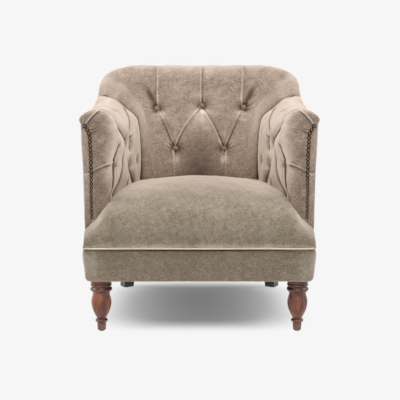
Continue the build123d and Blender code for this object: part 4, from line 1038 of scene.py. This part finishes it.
FOOT_START, FOOT_PALE = 141.5, 0.55        # and the foot below this pale
for tag, sign in (("left", -1), ("right", 1)):
    line = even(smooth(LEG_RINGS, 6), 190)
    verts, faces = turned_grid([(r, LEG_TOP - d) for d, r in line], 72, (sign * LEG_X, LEG_Y, 0))
    drop = LEG_TOP - verts[:, 2]
    painted_light_and_shade = np.zeros(len(verts))
    for a, b, k in TURNED_SHADE:
        painted_light_and_shade = np.maximum(painted_light_and_shade, k * np.exp(-((drop - (a + b) / 2) / ((b - a) * 0.55)) ** 2))
    painted_light_and_shade = np.maximum(painted_light_and_shade, HEAD_SHADE * (drop < HEAD_END)) - FOOT_PALE * (drop > FOOT_START)
    piece = mesh_piece(f"turned_leg_{tag}", wood, verts, flipped(faces), painted_light_and_shade)
    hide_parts(f"leg_front_{tag}")

# ---- finishes of the carried-over timbers and fittings
metal = speckled("steel", (240.0, 3.0, 0.6), (92, 92, 94), (158, 158, 160), 0.2, 1.0)
webbing = cloth("jute_webbing", (120, 96, 62), (196, 168, 122), 140.0)
BY_START = (("frame_", beech()), ("leg_rear", dark_wood()), ("leg_bolt", metal),
            ("glide", speckled("glide_plastic", (300.0, 4.0, 0.7), (36, 34, 33), (60, 57, 54), 0.35, 0.0)),
            ("seat_springs", metal), ("spring_clips", metal),
            ("seat_hessian", cloth("hessian", (132, 104, 66), (190, 160, 112), 180.0)),
            ("dust_cover", cloth("lining_cloth", (30, 29, 30), (58, 56, 56), 420.0)),
            ("arm_webbing", webbing), ("back_webbing", webbing))
for name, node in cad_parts.items():
    for start, finish in BY_START:
        if name.startswith(start):
            node.data.materials.clear()
            node.data.materials.append(finish)

# ---- floor, light and camera
SHOWN = 0.922                              # the pale ground, as the camera sees it
SHADOW_HALF_X, SHADOW_HALF_Y = 0.375, 0.39     # metres; reach of the shadow under the chair
SHADOW_LIFT = 0.17                         # and how far its darkest part is lightened
FLOOR_HALF = 9                             # metres


def seen_rays(tree):
    """1 for the rays that show the ground: from the camera, off gloss and through glass."""
    rays = tree.nodes.new("ShaderNodeLightPath").outputs
    most = rays["Is Camera Ray"]
    for other in ("Is Glossy Ray", "Is Transmission Ray"):
        pick = tree.nodes.new("ShaderNodeMath")
        pick.operation = "MAXIMUM"
        tree.links.new(most, pick.inputs[0])
        tree.links.new(rays[other], pick.inputs[1])
        most = pick.outputs[0]
    return most


def ground():
    """A plain pale floor that keeps the shadow under the chair and is the same pale tone everywhere else."""
    f = Finish("floor")
    f.set(Base_Color=(0.9, 0.9, 0.9, 1), Roughness=0.9, Specular_IOR_Level=0.0)
    axes = f.node("ShaderNodeSeparateXYZ", {"Vector": f.place}).outputs
    across = f.math("POWER", f.math("ABSOLUTE", f.math("DIVIDE", axes["X"], SHADOW_HALF_X)), 4.0)
    along = f.math("POWER", f.math("ABSOLUTE", f.math("DIVIDE", axes["Y"], SHADOW_HALF_Y)), 4.0)
    reach = f.math("POWER", f.math("ADD", across, along), 0.25)
    fade = f.node("ShaderNodeMapRange", {"Value": reach, "From Min": 0.55, "From Max": 1.02, "To Min": SHADOW_LIFT,
                                         "To Max": 1.0}, interpolation_type="SMOOTHSTEP").outputs["Result"]
    plain = f.node("ShaderNodeEmission", {"Color": (SHOWN, SHOWN, SHOWN, 1), "Strength": 1.0}).outputs[0]
    mixer = f.node("ShaderNodeMixShader", {0: f.math("MULTIPLY", fade, seen_rays(f.tree))})
    f.tree.links.new(f.shader.outputs[0], mixer.inputs[1])
    f.tree.links.new(plain, mixer.inputs[2])
    f.tree.links.new(mixer.outputs[0], f.tree.nodes["Material Output"].inputs["Surface"])
    return f.mat


h = FLOOR_HALF
floor_mesh = bpy.data.meshes.new("floor")
floor_mesh.from_pydata([(-h, -h, 0), (h, -h, 0), (h, h, 0), (-h, h, 0)], [], [(0, 1, 2, 3)])
floor = bpy.data.objects.new("floor", floor_mesh)
bpy.context.scene.collection.objects.link(floor)
floor_mesh.materials.append(ground())

world = bpy.data.worlds.new("studio")
bpy.context.scene.world = world
world.use_nodes = True
tree = world.node_tree
shown = tree.nodes.new("ShaderNodeBackground")
shown.inputs["Color"].default_value = (SHOWN, SHOWN, SHOWN, 1)
lit = tree.nodes["Background"]
lit.inputs["Color"].default_value = (1.0, 0.985, 0.97, 1)
lit.inputs["Strength"].default_value = 0.24
mixer = tree.nodes.new("ShaderNodeMixShader")
tree.links.new(seen_rays(tree), mixer.inputs[0])
tree.links.new(lit.outputs[0], mixer.inputs[1])
tree.links.new(shown.outputs[0], mixer.inputs[2])
tree.links.new(mixer.outputs[0], tree.nodes["World Output"].inputs["Surface"])


def lamp(name, place, target, size, power):
    light = bpy.data.lights.new(name, "AREA")
    light.shape, light.size, light.energy = "DISK", size, power
    made = bpy.data.objects.new(name, light)
    made.location = place
    made.rotation_euler = (Vector(target) - Vector(place)).to_track_quat("-Z", "Y").to_euler()
    bpy.context.scene.collection.objects.link(made)


# name, place, target, size and power, in metres and watts
lamp("overhead", (0.0, -0.9, 2.9), (0, -0.1, 0.4), 2.0, 54)
lamp("front", (0.0, -3.6, 1.6), (0, 0, 0.4), 2.0, 14)
for side_name, way_x in (("left", -1), ("right", 1)):
    lamp(side_name, (way_x * 2.6, -0.35, 2.0), (0, 0, 0.5), 1.4, 34)

camera = bpy.data.objects.new("camera", bpy.data.cameras.new("camera"))
bpy.context.scene.collection.objects.link(camera)
camera.location = (0, -3.348, 0.8495)
camera.rotation_euler = (math.radians(90 - 8.19), 0, 0)        # it looks 8.19 degrees down
camera.data.lens, camera.data.sensor_width = 87.57, 36.0
camera.data.shift_x = 0.0015
bpy.context.scene.camera = camera
bpy.context.scene.view_settings.view_transform = "Standard"
